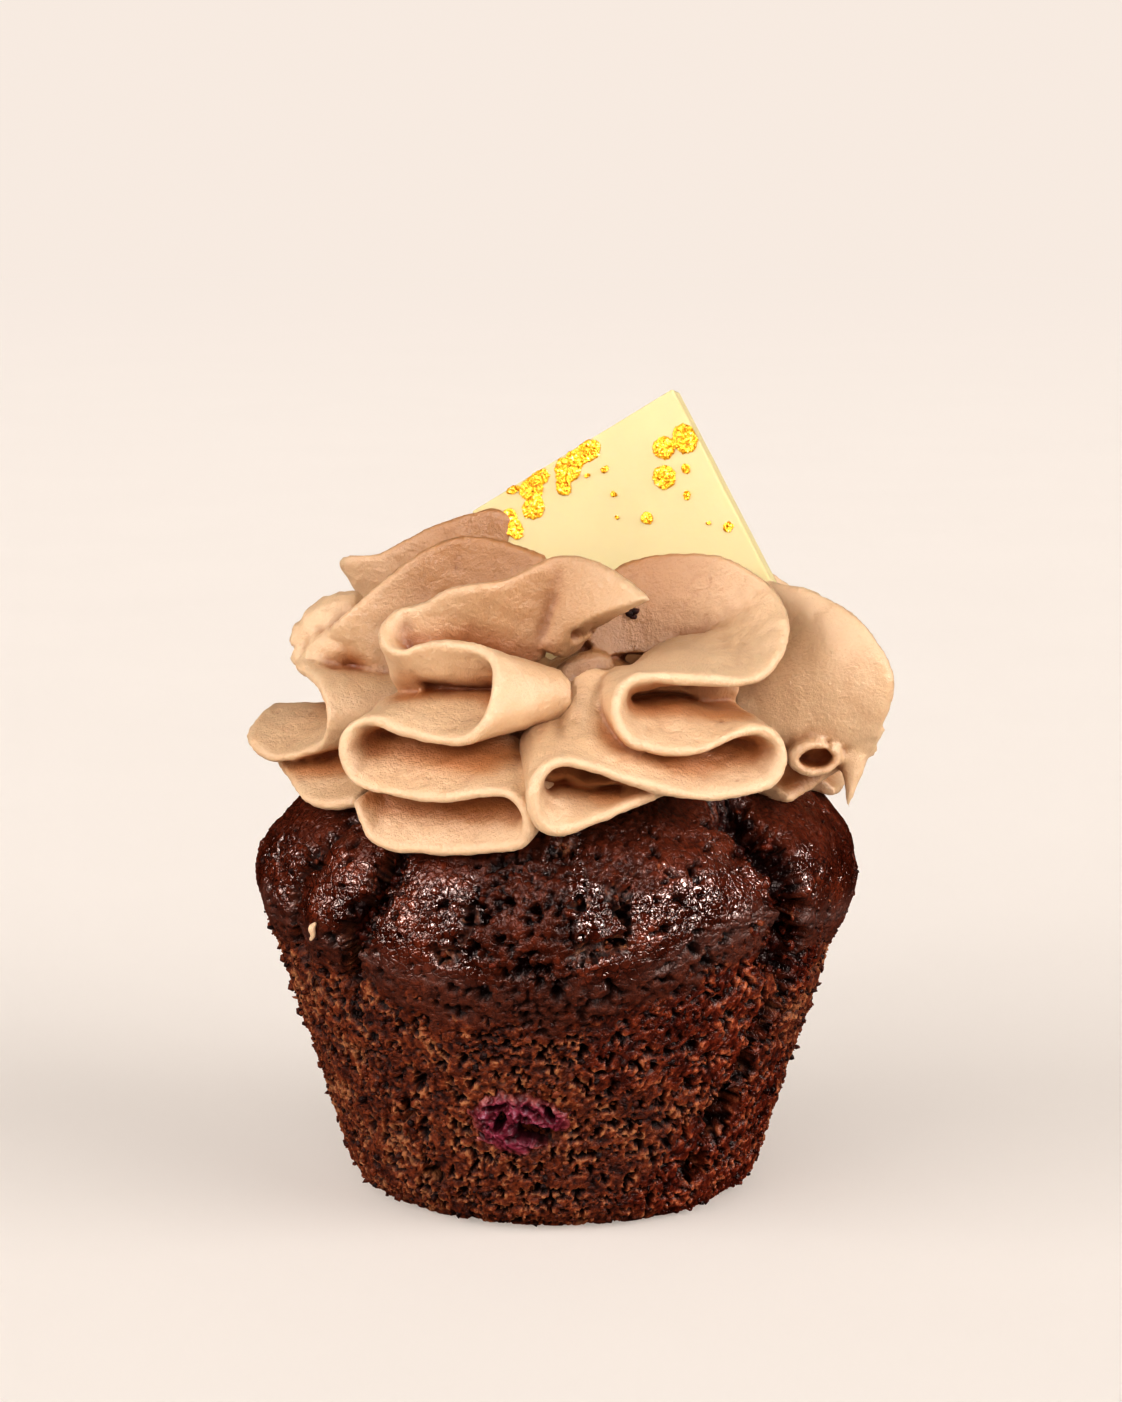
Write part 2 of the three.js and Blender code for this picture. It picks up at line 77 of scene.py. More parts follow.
# across, up, half width, half height, tilt in degrees
FRUIT_HOLES = [
    (2.3, -1.5, 3.3, 1.5, -16), (3.7, 1.6, 0.5, 1.3, 30), (-2.9, 2.2, 1.5, 0.45, 15),
    (-2.2, 0.2, 0.55, 1.7, -20), (1.2, 2.2, 0.9, 0.35, -30),
]  # fmt: skip
FRUIT_DEPTH = 4.5  # how far the flesh goes in behind its rim

# ---- piped ruffles ----
# A fold is (side, angle, opening, reach) of the ribbon's lip and (side, rise, reach) of its root.
# "centre" is how far out and how high the folds' arc is centred; "heart" the half width and size behind them.
EDGE_THICKNESS = 1.4
ROOT_THICKNESS = 5.0
FOLD_LOOP = 3.6
ROOT_OPENING = 0.35  # how much of a fold's opening is left at its root
ANGLE_SCALE = 22.0
RUFFLES = {
    "ruffle_front_left": {
        "azimuth": -26, "centre": (14, 58), "heart": (9.5, 11.5),
        "folds": [
            (-9.5, -12, 0, 20.4, -9, 8, 11), (-7, -22, 0, 22.3, -7, 14, 11.5),
            (2.5, -24, 0, 22.3, 3, 16, 12), (14, -12, 9, 22, 12, 10, 11.3),
            (3, -6, 0, 22.7, 4, 20, 11.5), (-9.8, 5.5, 10, 22.7, -9, 18, 11.9),
            (-1, 12.5, 0, 22.6, 1, 24, 13), (8.9, 26, 14.5, 22, 11.8, 16, 12.5),
            (-2.3, 41.2, 0, 21.6, -2, -5, 14.5), (-8.6, 48, 9.5, 21.2, -7.5, -4, 14),
            (-1.6, 61, 0, 22.8, -1, 0, 12.5), (4.2, 69, 0, 22.4, 3.5, 0, 12),
            (9.5, 81, 0, 24, 6.5, 0, 13), (15.2, 78.5, 0, 23.5, 8, 0, 13.5),
            (21, 70.5, 0, 22.2, 8.5, 14, 14), (22.8, 67, 0, 22, 8.5, 18, 14.3),
        ],
    },
    "ruffle_front_right": {
        "azimuth": 20, "centre": (14, 58), "heart": (9.5, 11.5),
        "folds": [
            (4, -3, 0, 20.5, 4, 12, 11), (-2, -7.5, 0, 21.2, 0, 12, 11), (-8, -12, 0, 22, -6, 14, 11),
            (-15.9, -4, 10.8, 22.2, -11, 18, 11.5), (-4, 0, 0, 22.5, -4, 46, 13),
            (5, -6.5, 0, 22.6, 5, 28, 12), (15.6, 3.6, 9.1, 21.8, 13, 16, 11.5),
            (4, 7.5, 0, 22.6, 6, 20, 14), (-5, 20, 11, 22, -1.5, 18, 13.5),
            (6, 28, 0, 23.2, 7, 30, 13.5), (13.4, 28.8, 0, 22.2, 12, 32, 14),
            (18.5, 45, 0, 21.3, 13, 18, 13.5), (19, 68, 0, 21.2, 13.5, 4, 12),
            (14.5, 82.5, 0, 22.6, 11, -2, 11), (5.4, 95, 0, 21.6, 5, -5, 11),
            (0, 95, 0, 18.3, 3.5, -4, 11), (-4.4, 93.5, 0, 15.6, 0.5, -3, 11),
        ],
    },
    "ruffle_left": {
        "azimuth": -80, "centre": (15, 57), "heart": (9.5, 10.5),
        "folds": [
            (14, -23, 0, 12.5, 9, 0, 7), (10, -20, 0, 17, 8, 0, 8), (3, -12, 0, 18.5, 3, 5, 9),
            (-11.5, 2, 6.5, 19.3, -8, 5, 9), (-3, 1, 0, 22.6, -3, 15, 9), (2, -4, 0, 20.4, 2, 25, 9),
            (8, 3, 0, 15.6, 7, 30, 8), (11, 19, 0, 15.2, 9, 25, 8), (8, 29, 0, 17, 7, 20, 9),
            (-2, 30.5, 0, 19.8, -2, 15, 9.5), (-7, 36, 0, 19, -6, 10, 10),
            (-2, 46, 0, 18.5, -2, 5, 10), (4.5, 50, 0, 19.6, 4, 8, 10), (5.5, 71, 0, 21.3, 4, 0, 10.5),
            (6, 86.5, 0, 24.2, 5, 0, 11), (8, 97.5, 0, 26, 6, 0, 11), (11, 106.5, 0, 26.2, 8, 0, 11),
            (14, 115.5, 0, 26.3, 10, 0, 11),
        ],
    },
    "ruffle_right": {
        "azimuth": 84, "centre": (15, 58), "heart": (10.5, 11.5),
        "folds": [
            (2, -22, 0, 21, 2, 0, 9), (13, -14, 8, 22, 9, 4, 10), (-1, 1, 8, 22, 0, 8, 10),
            (13, 16, 8, 22, 9, 8, 10), (-1, 32, 8, 21, 0, 6, 10), (12, 50, 11, 21, 9, 4, 10),
            (3.5, 65, 0, 20.5, 3, 0, 10), (-3, 56, 0, 22.4, -3, 0, 11), (-7, 45, 0, 25.3, -5, 0, 11),
            (-11, 35, 0, 27.3, -8, 0, 10.5), (-13.5, 27, 0, 28.3, -9.5, 0, 10),
            (-14, 18, 0, 28.2, -9.5, 0, 9), (-12.5, 7, 0, 25.8, -9, 0, 8),
            (-10.5, 0, 0, 24.5, -8, 0, 8), (-9, -7, 0, 21, -7, 0, 8), (-10, -18, 0, 17.5, -7, 0, 8),
            (-12, -24, 0, 15.5, -8, 0, 8),
        ],
    },
    "ruffle_back_left": {
        "azimuth": -149, "centre": (14, 58), "heart": (9.5, 11),
        "folds": [
            (-11, -22, 0, 21, -8, 0, 10), (14.5, -14, 9, 21.5, 10, 5, 10.5),
            (-14, 2, 9, 21, -10, 10, 11), (13.5, 22, 10, 21, 9.5, 12, 11.5),
            (-13, 43, 10, 21, -9, 5, 11.5), (18.5, 73, 9, 20.8, 12, 0, 11),
            (10, 87, 0, 23.3, 8, 0, 11.5), (4.5, 92, 0, 25.4, 4, 0, 12),
            (1, 95, 0, 25.8, 1.5, 0, 12.5), (-1.6, 97, 0, 23.5, 0, 0, 12.5),
        ],
    },
    "ruffle_back_right": {
        "azimuth": 149, "centre": (14, 58), "heart": (9.5, 11),
        "folds": [
            (11, -21, 0, 21, 8, 0, 10), (-14.5, -15, 8, 21, -10, 5, 10.5),
            (13.5, 1, 10, 22, 10, 10, 11), (-14, 22, 11, 21.5, -10, 12, 11.5),
            (12, 44, 10, 20.5, 9, 5, 11.5), (-13.5, 66, 11, 22, -9.5, 0, 11),
            (-4, 83, 0, 23, -3.6, 0, 11), (6, 88, 0, 22.5, 5, 0, 11),
        ],
    },
}
# Small parts of the piping: strands given by points and a radius at each, in the row frame.
STRANDS = {
    "ruffle_front_right": [
        [(-0.8, -15.6, 65.2, 1), (1.4, -16.6, 67.4, 1.5), (4, -16, 68.7, 1.5), (6.6, -15, 68.4, 1.1)],
        [(2.2, -14.6, 66, 2.2), (5.5, -15.2, 66.5, 2.4)],
        [(12.5, -21.5, 66.2, 2.4), (17, -20, 66.5, 2.6), (21.2, -17.8, 66.3, 2.2)],
    ],
    "ruffle_left": [
        [
            (-29.6, -1.8, 68.2, 2.6), (-28.6, -2.6, 70.6, 3.2),
            (-26.4, -3.2, 72.3, 3.2), (-23.6, -3.8, 73.2, 2.7),
        ],
        [
            (-29.2, -4.4, 66.6, 2.4), (-27.2, -5.4, 68.6, 3.0),
            (-24.4, -6.0, 70.2, 2.8), (-21.6, -6.4, 71.6, 2.4),
        ],
        [(-31.4, -2.0, 69.2, 1.5), (-31.6, -2.2, 71.4, 0.9)],
        [(-30.8, -3.6, 67.6, 1.6), (-31.9, -3.8, 66.4, 1.0)],
    ],
    "ruffle_right": [
        [(30.4, -8.2, 73.6, 1.3), (30.3, -8.2, 75.6, 0.8), (30.0, -8.2, 77.0, 0.25)],
        [(33.6, -10.2, 73.4, 1.0), (34.2, -10.6, 74.9, 0.3)],
        [(36.3, -13.6, 59.5, 1.7), (36.3, -13.9, 56.5, 1.6), (36, -14.3, 53.6, 1), (35.7, -14.8, 50.6, 0.3)],
        [(37.6, -14.6, 61.5, 1.2), (39.4, -15.2, 60.4, 0.7), (39.0, -15.0, 58.8, 0.4)],
        [(37.0, -13.6, 60.0, 1.2), (38.6, -13.3, 58.0, 0.7), (38.5, -13.2, 56.6, 0.25)],
        [(33.4, -11.4, 58.0, 1.4), (33.8, -11.8, 55.6, 0.9), (32.6, -12.6, 54.9, 0.5)],
    ],
}
# Slits where one pass of the ribbon lies on the next: (x, y, z) points, pressed in towards the middle.
SLITS = {
    "ruffle_front_left": [
        [(-15.6, -23.8, 66.8), (-14.4, -24.9, 66.8), (-12.4, -26, 66.8), (-8.2, -27.1, 67)],
    ],
    "ruffle_front_right": [
        [(10, -28, 66.1), (12.4, -26.5, 66.1), (16, -24.8, 65.9), (18.6, -23.4, 65.6)],
        [(0, -35, 57.3), (1.8, -33.6, 57.4), (5.3, -33.3, 56.8), (8, -33, 56.2)],
    ],
}
SLIT_DEPTH = 2.6
SLIT_HALF_WIDTH = 0.8
LUMPY = {"ruffle_left": ((-27, -4, 70.5), 6.5)}  # middle and size of a rough, clotted part
CURLED = "ruffle_right"
CURL = {"centre": (31.5, -16.4, 57.0), "half_width": 2.75, "half_height": 1.75, "radius": 0.6, "depth": 6}

# ---- white chocolate ----
PLATE = {"width": 30.5, "height": 31.0, "thickness": 2.8, "turn": 22, "lean": 14, "roll": 33}
PLATE_CORNER = (14.6, 5.8, 99.9)
# across and up from the plate's top right corner, half width, half height
GOLD = [
    (-13.3, -1.3, 1.8, 1.44), (-15.2, -1.4, 1.68, 1.44), (-16.8, -2, 1.92, 1.8), (-18.2, -3.6, 1.08, 1.2),
    (-20.6, -1, 1.56, 1.08), (-22.1, -1.7, 1.8, 1.56), (-23, -3.9, 1.56, 1.56), (-24.3, -0.5, 0.96, 0.6),
    (-26.3, -3.2, 1.08, 1.08), (-26.4, -5, 1.2, 1.56), (-1.5, -6.5, 1.68, 2.04), (-4.4, -6.1, 1.5, 1.62),
    (-6.1, -9.4, 1.56, 1.68), (-3.1, -10, 0.6, 0.72), (-4.6, -13, 0.6, 0.6), (-12.4, -4.5, 0.54, 0.48),
    (-12.8, -7.9, 0.54, 0.48), (-13.9, -10.8, 0.42, 0.36), (-10.4, -12.8, 0.84, 0.84),
    (-3.6, -17.5, 0.36, 0.36), (-1.7, -19.2, 0.78, 0.72), (-14.8, -4, 0.42, 0.36),
]  # fmt: skip


# ---- noise, all in numpy so that every run gives the same shape ----


def lattice_value(ix, iy, iz, seed):
    """A number in 0..1 for each integer lattice point."""
    mask = 0xFFFFFFFF
    h = (ix * 374761393 + iy * 668265263 + iz * 1274126177 + seed * 974634777) & mask
    h = ((h ^ (h >> 13)) * 1103515245) & mask
    h = ((h ^ (h >> 15)) * 2246822519) & mask
    return ((h ^ (h >> 16)) & mask) / 4294967296.0


def noise(points, size, seed=0):
    """Smooth gradient noise, about -1..1, with features of the given size."""
    p = points / size
    base = np.floor(p).astype(np.int64)
    f = p - base
    u = f * f * f * (f * (f * 6 - 15) + 10)
    total = np.zeros(len(p))
    for corner in range(8):
        step = np.array([corner & 1, corner >> 1 & 1, corner >> 2 & 1])
        cell = base + step
        slope = [2 * lattice_value(*cell.T, seed + 17 * k) - 1 for k in range(3)]
        away = f - step
        weight = np.prod(np.where(step, u, 1 - u), axis=1)
        total += weight * sum(s * away[:, k] for k, s in enumerate(slope))
    return total * 1.6


def fractal(points, size, seed=0, octaves=3, gain=0.5):
    """Several sizes of noise on top of each other."""
    total = np.zeros(len(points))
    for k in range(octaves):
        total += gain**k * noise(points, size / 2**k, seed + 101 * k)
    return total


def cells(points, size, seed=0):
    """Nearest and second nearest distance to scattered centres, and the nearest centre's own number."""
    p = points / size
    base = np.floor(p).astype(np.int64)
    first = np.full(len(p), 9.0)
    second = np.full(len(p), 9.0)
    label = np.zeros(len(p))
    for step in np.ndindex(3, 3, 3):
        cell = base + np.array(step) - 1
        centre = np.stack([lattice_value(*cell.T, seed + 31 * k) for k in range(3)], axis=1)
        far = np.linalg.norm(cell + centre - p, axis=1)
        closer = far < first
        second = np.where(closer, first, np.minimum(second, far))
        label = np.where(closer, lattice_value(*cell.T, seed + 401), label)
        first = np.where(closer, far, first)
    return first, second, label


def smoothstep(x, low, high):
    """0 below `low`, 1 above `high`, and a soft step between."""
    t = np.clip((x - low) / (high - low), 0, 1)
    return t * t * (3 - 2 * t)


def bell(x, width):
    """1 at 0, falling away softly on both sides."""
    return np.exp(-((x / width) ** 2))


def wrapped(degrees):
    """The same direction as an angle in -180..180."""
    return (degrees + 180) % 360 - 180


def pulled(points, amount, size, seed, octaves):
    """Points pulled about at random, by up to about `amount`."""
    return points + amount * np.stack([fractal(points, size, seed + k, octaves) for k in range(3)], axis=1)


def unit(vectors):
    """Vectors made 1 long."""
    return vectors / np.maximum(np.linalg.norm(vectors, axis=-1, keepdims=True), 1e-9)


def compass(azimuth):
    """Level directions out and to the right at an azimuth in degrees, which is 0 at the front."""
    turn = math.radians(azimuth)
    out = np.array([math.sin(turn), -math.cos(turn), 0])
    return out, np.array([math.cos(turn), math.sin(turn), 0])


def full_turn(count):
    """Angles of that many even steps round a circle."""
    return np.linspace(0, 2 * math.pi, count, endpoint=False)


# ---- meshes ----


def add_object(name, data):
    thing = bpy.data.objects.new(name, data)
    bpy.context.scene.collection.objects.link(thing)
    return thing


def make_mesh(name, points, faces):
    mesh = bpy.data.meshes.new(name)
    mesh.from_pydata(points.tolist(), [], faces)
    return mesh


def make_piece(name, points, faces, material, values=None, smooth=True):
    """A mesh object from points in millimetres, with values at each point for its material."""
    mesh = make_mesh(name, np.asarray(points) * MM, faces)
    for key, data in (values or {}).items():
        layer = mesh.attributes.new(key, "FLOAT", "POINT")
        layer.data.foreach_set("value", np.asarray(data, np.float32))
    mesh.polygons.foreach_set("use_smooth", [smooth] * len(mesh.polygons))
    mesh.materials.append(material)
    return add_object(name, mesh)


def finish_piece(piece, slot, *nodes):
    """Fixes the piece to the muffin's only body, and hides the solids of the model that it stands in for."""
    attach(piece, "root")
    if nodes:
        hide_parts(*nodes)


def grid_faces(rows, columns, closed):
    """Quads between the points of a rows by columns grid, whose rows may be closed into rings."""
    faces = []
    for i in range(rows - 1):
        for j in range(columns if closed else columns - 1):
            k = (j + 1) % columns
            faces.append((i * columns + j, i * columns + k, (i + 1) * columns + k, (i + 1) * columns + j))
    return faces


def tube_faces(rows, columns):
    """Quads of a tube of rings, and a flat cap at either end."""
    last = (rows - 1) * columns
    caps = [tuple(reversed(range(columns))), tuple(range(last, last + columns))]
    return grid_faces(rows, columns, True) + caps


def closed_rings(rings, first_hub, last_hub):
    """Points and faces of a skin of rings, closed at either end by a point, its hub."""
    rows, columns = rings.shape[:2]
    hub = rows * columns
    faces = grid_faces(rows, columns, True)
    for j in range(columns):
        k = (j + 1) % columns
        faces += [(hub, k, j), (hub + 1, hub - columns + j, hub - columns + k)]
    return np.vstack([rings.reshape(-1, 3), [first_hub, last_hub]]), faces


def grid_normals(grid):
    """Normals of a (rows, columns, 3) grid whose rows are closed rings."""
    around = np.roll(grid, -1, axis=1) - np.roll(grid, 1, axis=1)
    return unit(np.cross(around, np.gradient(grid, axis=0)))


def curve_through(rows, samples):
    """Catmull-Rom curve through rows of any shape, at float row numbers."""
    rows = np.asarray(rows, float)
    padded = np.concatenate([[2 * rows[0] - rows[1]], rows, [2 * rows[-1] - rows[-2]]])
    i = np.clip(np.floor(samples).astype(int), 0, len(rows) - 2)
    t = (samples - i).reshape((-1,) + (1,) * (rows.ndim - 1))
    a, b, c, d = (padded[i + k] for k in range(4))
    return 0.5 * (2 * b + (c - a) * t + (2 * a - 5 * b + 4 * c - d) * t**2 + (3 * b - a - 3 * c + d) * t**3)


# ---- sponge ----

RUBBED_LEVEL = 0.5  # how rubbed a face of the crust must be to lose its shine
SPONGE_COLUMNS = 640
SPONGE_STEP = 0.28  # spacing of the rings up the side
GRANULES = 6000
CRACK_TOP = 52.0  # height at which the cracks begin
FOOT_CORNER = (23.3, 0.9)  # radius and height of the rounded corner round the underside
BODY_FOOT = 3.2  # from here up the side is straight
CRUST_ROW = 9.8  # control ring where the crust's own skin begins, on its dull skirt
SEAM_TUCK = 0.12  # how far the crumb's and the crust's seam is tucked under the other skin
HIDDEN_HEIGHT = 54  # above it the frosting hides the sponge, which can be coarse


def crust_edge(azimuth):
    """Height of the crust's lower edge."""
    edge = CRUST_EDGE + 0.8 * np.sin(np.radians(azimuth * 3 + 40))
    for middle, drop, width in TONGUES:
        edge -= drop * bell(wrapped(azimuth - middle), width)
    return edge


def crack_profile(azimuth, points, edge):
    """Depth of the torn cracks between the crust's lobes, alone and with their soft shoulders."""
    z = points[:, 2]
    share = np.clip((CRACK_TOP - z) / (CRACK_TOP - edge), 0, 1)
    ragged = 0.35 * fractal(points, 2.6, 43, 3)
    sharp = np.zeros_like(azimuth)
    soft = np.zeros_like(azimuth)
    for top, low, deep, width in CRACKS:
        away = wrapped(azimuth - (top + (low - top) * share))
        sharp = np.maximum(sharp, deep * smoothstep(ragged - np.abs(away) / width, -1.0, -0.35))
        soft = np.maximum(soft, 1.5 * bell(away, 2.4 * width))
    reach = smoothstep(z, edge - 5, edge + 2) * smoothstep(-z, -55, -50)
    return sharp * reach, (sharp + soft) * reach


def crevice_depth(azimuth, points):
    """Depth of the deep holes torn into the crumb and the crust."""
    depth = np.zeros_like(azimuth)
    warp = 1.1 * fractal(points, 2.6, 44, 3)
    radius = np.hypot(points[:, 0], points[:, 1])
    for middle, height, half_width, half_height, deep in CREVICES:
        across = np.radians(wrapped(azimuth - middle)) * radius
        size = np.hypot((across + warp) / half_width, (points[:, 2] - height + warp) / half_height)
        depth = np.maximum(depth, deep * smoothstep(-size, -1.25, -0.6))
    return depth


def sponge_rings(azimuth):
    """Radius and height of the outline's control rings for every azimuth: (rings, azimuths, 2)."""
    edge = crust_edge(azimuth)
    slope = (BODY_RADIUS_RIM - BODY_RADIUS_LOW) / RIM_HEIGHT
    rings = [(0, 0), (FOOT_RADIUS * 0.5, 0), (FOOT_RADIUS, 0), FOOT_CORNER]
    for share in (0, 0.25, 0.5, 0.75, 0.96):
        z = BODY_FOOT + (edge - BODY_FOOT) * share
        rings.append((BODY_RADIUS_LOW + slope * z, z))
    rings.append((BODY_RADIUS_LOW + slope * edge + CRUST_LEDGE, edge + 0.8))
    lump = 0.45 * np.sin(np.radians(azimuth * 5)) + 0.35 * np.sin(np.radians(azimuth * 8 + 60))
    for radius, height in CRUST_OUTLINE:
        z = height
        if height < LEVEL_HEIGHT:
            z = LEVEL_HEIGHT - (LEVEL_HEIGHT - height) * (LEVEL_HEIGHT - edge) / (LEVEL_HEIGHT - CRUST_EDGE)
        rings.append((radius + lump * min(1, radius / 30), z))
    rings.append((0, DOME_TOP))
    return np.array([np.stack([radius + 0 * azimuth, z + 0 * azimuth], axis=1) for radius, z in rings])


def ring_samples(rings):
    """Float ring numbers: even up the side, wider apart on the underside and under the frosting."""
    middle = rings[:, 0]
    samples = [0.0]
    for i in range(len(middle) - 1):
        length = np.linalg.norm(middle[i + 1] - middle[i])
        hidden = middle[i, 1] < 0.5 or middle[i + 1, 1] > HIDDEN_HEIGHT
        count = max(2, round(length / (SPONGE_STEP * (3 if hidden else 1))))
        samples += [i + (k + 1) / count for k in range(count)]
    return np.array(samples)


def network(points, size, seed, gap):
    """Creases between rounded cells: 1 on a crease, 0 away from it, and how domed the cell is."""
    first, second, _ = cells(pulled(points, 0.45 * size, 1.1 * size, seed + 1, 1), size, seed)
    return 1 - smoothstep(second - first, 0, gap), 0.5 - first


def crust_relief(points, skirt, strip):
    """Leathery creases, lumps and torn pits of the baked top, and how hollow each point is, which sets the
    painted shade in its pits and creases.
    """
    lumps = 0.55 * fractal(points, 9, 3, 2) + 0.2 * noise(points, 3.4, 4)
    crease, dome = network(points, 2.1, 11, 0.22)
    fine_crease, fine_dome = network(points, 1.1, 15, 0.3)
    wrinkled = smoothstep(noise(points, 13, 13), -0.45, 0.1) * (1 - 0.85 * skirt)
    wrinkles = 0.14 * dome - 0.2 * crease + 0.06 * fine_dome - 0.12 * fine_crease
    torn = noise(points, 2.6, 21) + 0.6 * noise(points, 1.1, 22) + 0.4 * noise(points, 8, 23)
    pits = smoothstep(torn + 0.2 * strip, 0.5, 0.75)
    first, _, label = cells(points, 1.5, 24)
    pinholes = np.where(label > 0.45, np.clip(1 - first / 0.22, 0, 1), 0)
    crumbs, crumb_pores = crumb_relief(points)
    open_crumb = 0.15 * skirt + 0.45 * strip
    dry_holes = skirt * smoothstep(-noise(points, 0.9, 25), 0.5, 0.75)
    relief = lumps + (0.25 + wrinkled) * wrinkles - pits * (1.0 - 0.7 * crumbs) - 0.4 * pinholes
    relief += open_crumb * crumbs - 0.5 * dry_holes
    pits = np.maximum(pits, dry_holes) + 1.2 * open_crumb * crumb_pores
    # painted shade: the crease term makes the creases count as hollow, which darkens their colour
    return relief, np.clip(pits + pinholes + 0.5 * wrinkled * np.maximum(crease, fine_crease), 0, 1)


def crumb_relief(points):
    """Granules and ragged pores of the torn crumb, and how hollow each point is, which sets the painted shade
    in its pores and between its granules.
    """
    warp = pulled(points, 0.75, 1.4, 31, 2)
    first, _, _ = cells(warp, 0.85, 34)
    small, _, _ = cells(warp, 0.5, 35)
    granules = 0.45 * (0.5 - first) + 0.35 * (0.5 - small)
    torn = noise(warp, 1.5, 36) + 0.9 * noise(warp, 0.75, 37)
    pores = smoothstep(-torn, 0.2, 0.5)
    lumps = 0.4 * fractal(points, 7, 38, 2)
    return lumps + granules - 1.2 * pores, np.clip(1.15 * pores + 1.2 * (first - 0.5), 0, 1)


def fruit_dent(points):
    """How far each point is inside the fruit piece's pocket, 0 at its rim and 1 inside."""
    out, side = compass(FRUIT["azimuth"])
    across = points @ side / FRUIT["half_width"]
    size = np.hypot(across, (points[:, 2] - FRUIT["height"]) / FRUIT["half_height"])
    return np.where(points @ out > 0, smoothstep(-size, -0.9, -0.7), 0)


def standing_out(height, rows):
    """How far each grid point stands above its neighbourhood, in millimetres."""
    grid = height.reshape(rows, -1)
    level = grid
    for _ in range(6):
        up = np.vstack([level[:1], level[:-1]])
        down = np.vstack([level[1:], level[-1:]])
        level = (level + up + down + np.roll(level, 1, axis=1) + np.roll(level, -1, axis=1)) / 5
    return (grid - level).ravel()


def sponge_surface():
    """The sponge's (rows, columns, 3) points, their values and crack depths, and the crust's first row."""
    azimuth = np.linspace(-180, 180, SPONGE_COLUMNS, endpoint=False)
    rings = sponge_rings(azimuth)
    samples = ring_samples(rings)
    outline = curve_through(rings, samples)
    outline[..., 0] = np.maximum(outline[..., 0], 0.02)
    outline[..., 1] = np.maximum(outline[..., 1], 0)
    turn = np.radians(azimuth)[None, :]
    radius, z = outline[..., 0], outline[..., 1]
    grid = np.stack([radius * np.sin(turn), -radius * np.cos(turn), z], axis=2)
    points = grid.reshape(-1, 3)
    az = np.broadcast_to(azimuth[None, :], radius.shape).ravel()
    edge = crust_edge(az)
    crack, valley = crack_profile(az + 2.5 * fractal(points, 5, 42, 2), points, edge)
    crevice = crevice_depth(az, points)
    ragged = 1.5 * fractal(points, 4.5, 41, 4)
    above = points[:, 2] - edge - ragged
    torn = smoothstep(crack, 0.5, 1.3) + smoothstep(crevice, 0.35, 0.8)
    frayed = smoothstep(fractal(points, 1.9, 48, 3) - 0.16 * above, -0.25, 0.2)
    crust = smoothstep(above, -0.6, 0.6) * np.clip(1 - torn - 0.8 * frayed, 0, 1)
    skirt = smoothstep(-above, -9, -4)
    strip = smoothstep(noise(points, 13, 47) + 1.3 * bell(wrapped(az - STRIP_AZIMUTH), 11), 0.35, 1.0)
    dent = fruit_dent(points)
    underside = smoothstep(-points[:, 2], -1.2, -0.1)
    sunken = (valley + crevice + 2.2 * dent) * (1 - underside)
    points = points - grid_normals(grid).reshape(-1, 3) * sunken[:, None]
    normals = grid_normals(points.reshape(grid.shape)).reshape(-1, 3)
    crust_height, crust_hollow = crust_relief(points, skirt, strip)
    crumb_height, crumb_hollow = crumb_relief(points)
    height = crust * crust_height + (1 - crust) * crumb_height * (1 - dent)
    height = height * (1 - underside) + np.minimum(height * 0.3, 0) * underside
    height *= steepness_damping(points.reshape(grid.shape))
    points = points + normals * height[:, None]
    points[:, 2] = np.maximum(points[:, 2], 0)
    # painted shade: hollow darkens pores, pits, creases, cracks and crevices in the sponge's colour
    hollow = crust * crust_hollow + (1 - crust) * crumb_hollow + 0.22 * (crack + crevice)
    moist = smoothstep(noise(points, 11, 45) + 1.1 * bell(wrapped(az - MOIST_AZIMUTH), 22), 0.2, 0.9)
    rubbed = smoothstep(z.ravel() + 4 * noise(points, 7, 46), 45.5, 49)
    values = {
        "crust": crust,
        "hollow": np.clip(hollow, 0, 1),
        "skirt": crust * skirt,
        # painted highlight: the crumb's colour pales where a point stands out
        "raised": np.clip(0.5 + 1.2 * standing_out(height, len(samples)), 0, 1),
        "moist": crust * np.maximum(rubbed, 0.9 * strip) + (1 - crust) * moist,
    }
    edge_row = int(np.searchsorted(samples, CRUST_ROW))
    return points.reshape(len(samples), -1, 3), values, crack, edge_row


def steepness_damping(grid):
    """1 where the columns are evenly spaced, less where a wall stretches them, to keep relief smooth."""
    step = np.linalg.norm(np.roll(grid, -1, axis=1) - np.roll(grid, 1, axis=1), axis=2)
    even = np.hypot(grid[..., 0], grid[..., 1]) * 4 * math.pi / grid.shape[1]
    return np.clip(1.5 * even / np.maximum(step, 1e-6), 0.25, 1).ravel()


def closed_band(grid, first, last, tucked):
    """Points and faces of the grid's rows first..last, closed by a point on the axis inside each open end.

    The row at the seam is tucked under the other part's skin, so that the two skins run on smoothly.
    """
    band = grid[first : last + 1].copy()
    band[tucked] -= SEAM_TUCK * grid_normals(grid)[first : last + 1][tucked]
    first_hub, last_hub = ([0, 0, grid[row, :, 2].mean()] for row in (first, last))
    return closed_rings(band, first_hub, last_hub)


def dull_where_rubbed(piece, rubbed, look):
    """Gives the faces of the crust that are rubbed or torn the crumb's dull surface."""
    piece.data.materials.append(look)
    for polygon in piece.data.polygons:
        if rubbed[list(polygon.vertices)].mean() > RUBBED_LEVEL:
            polygon.material_index = 1


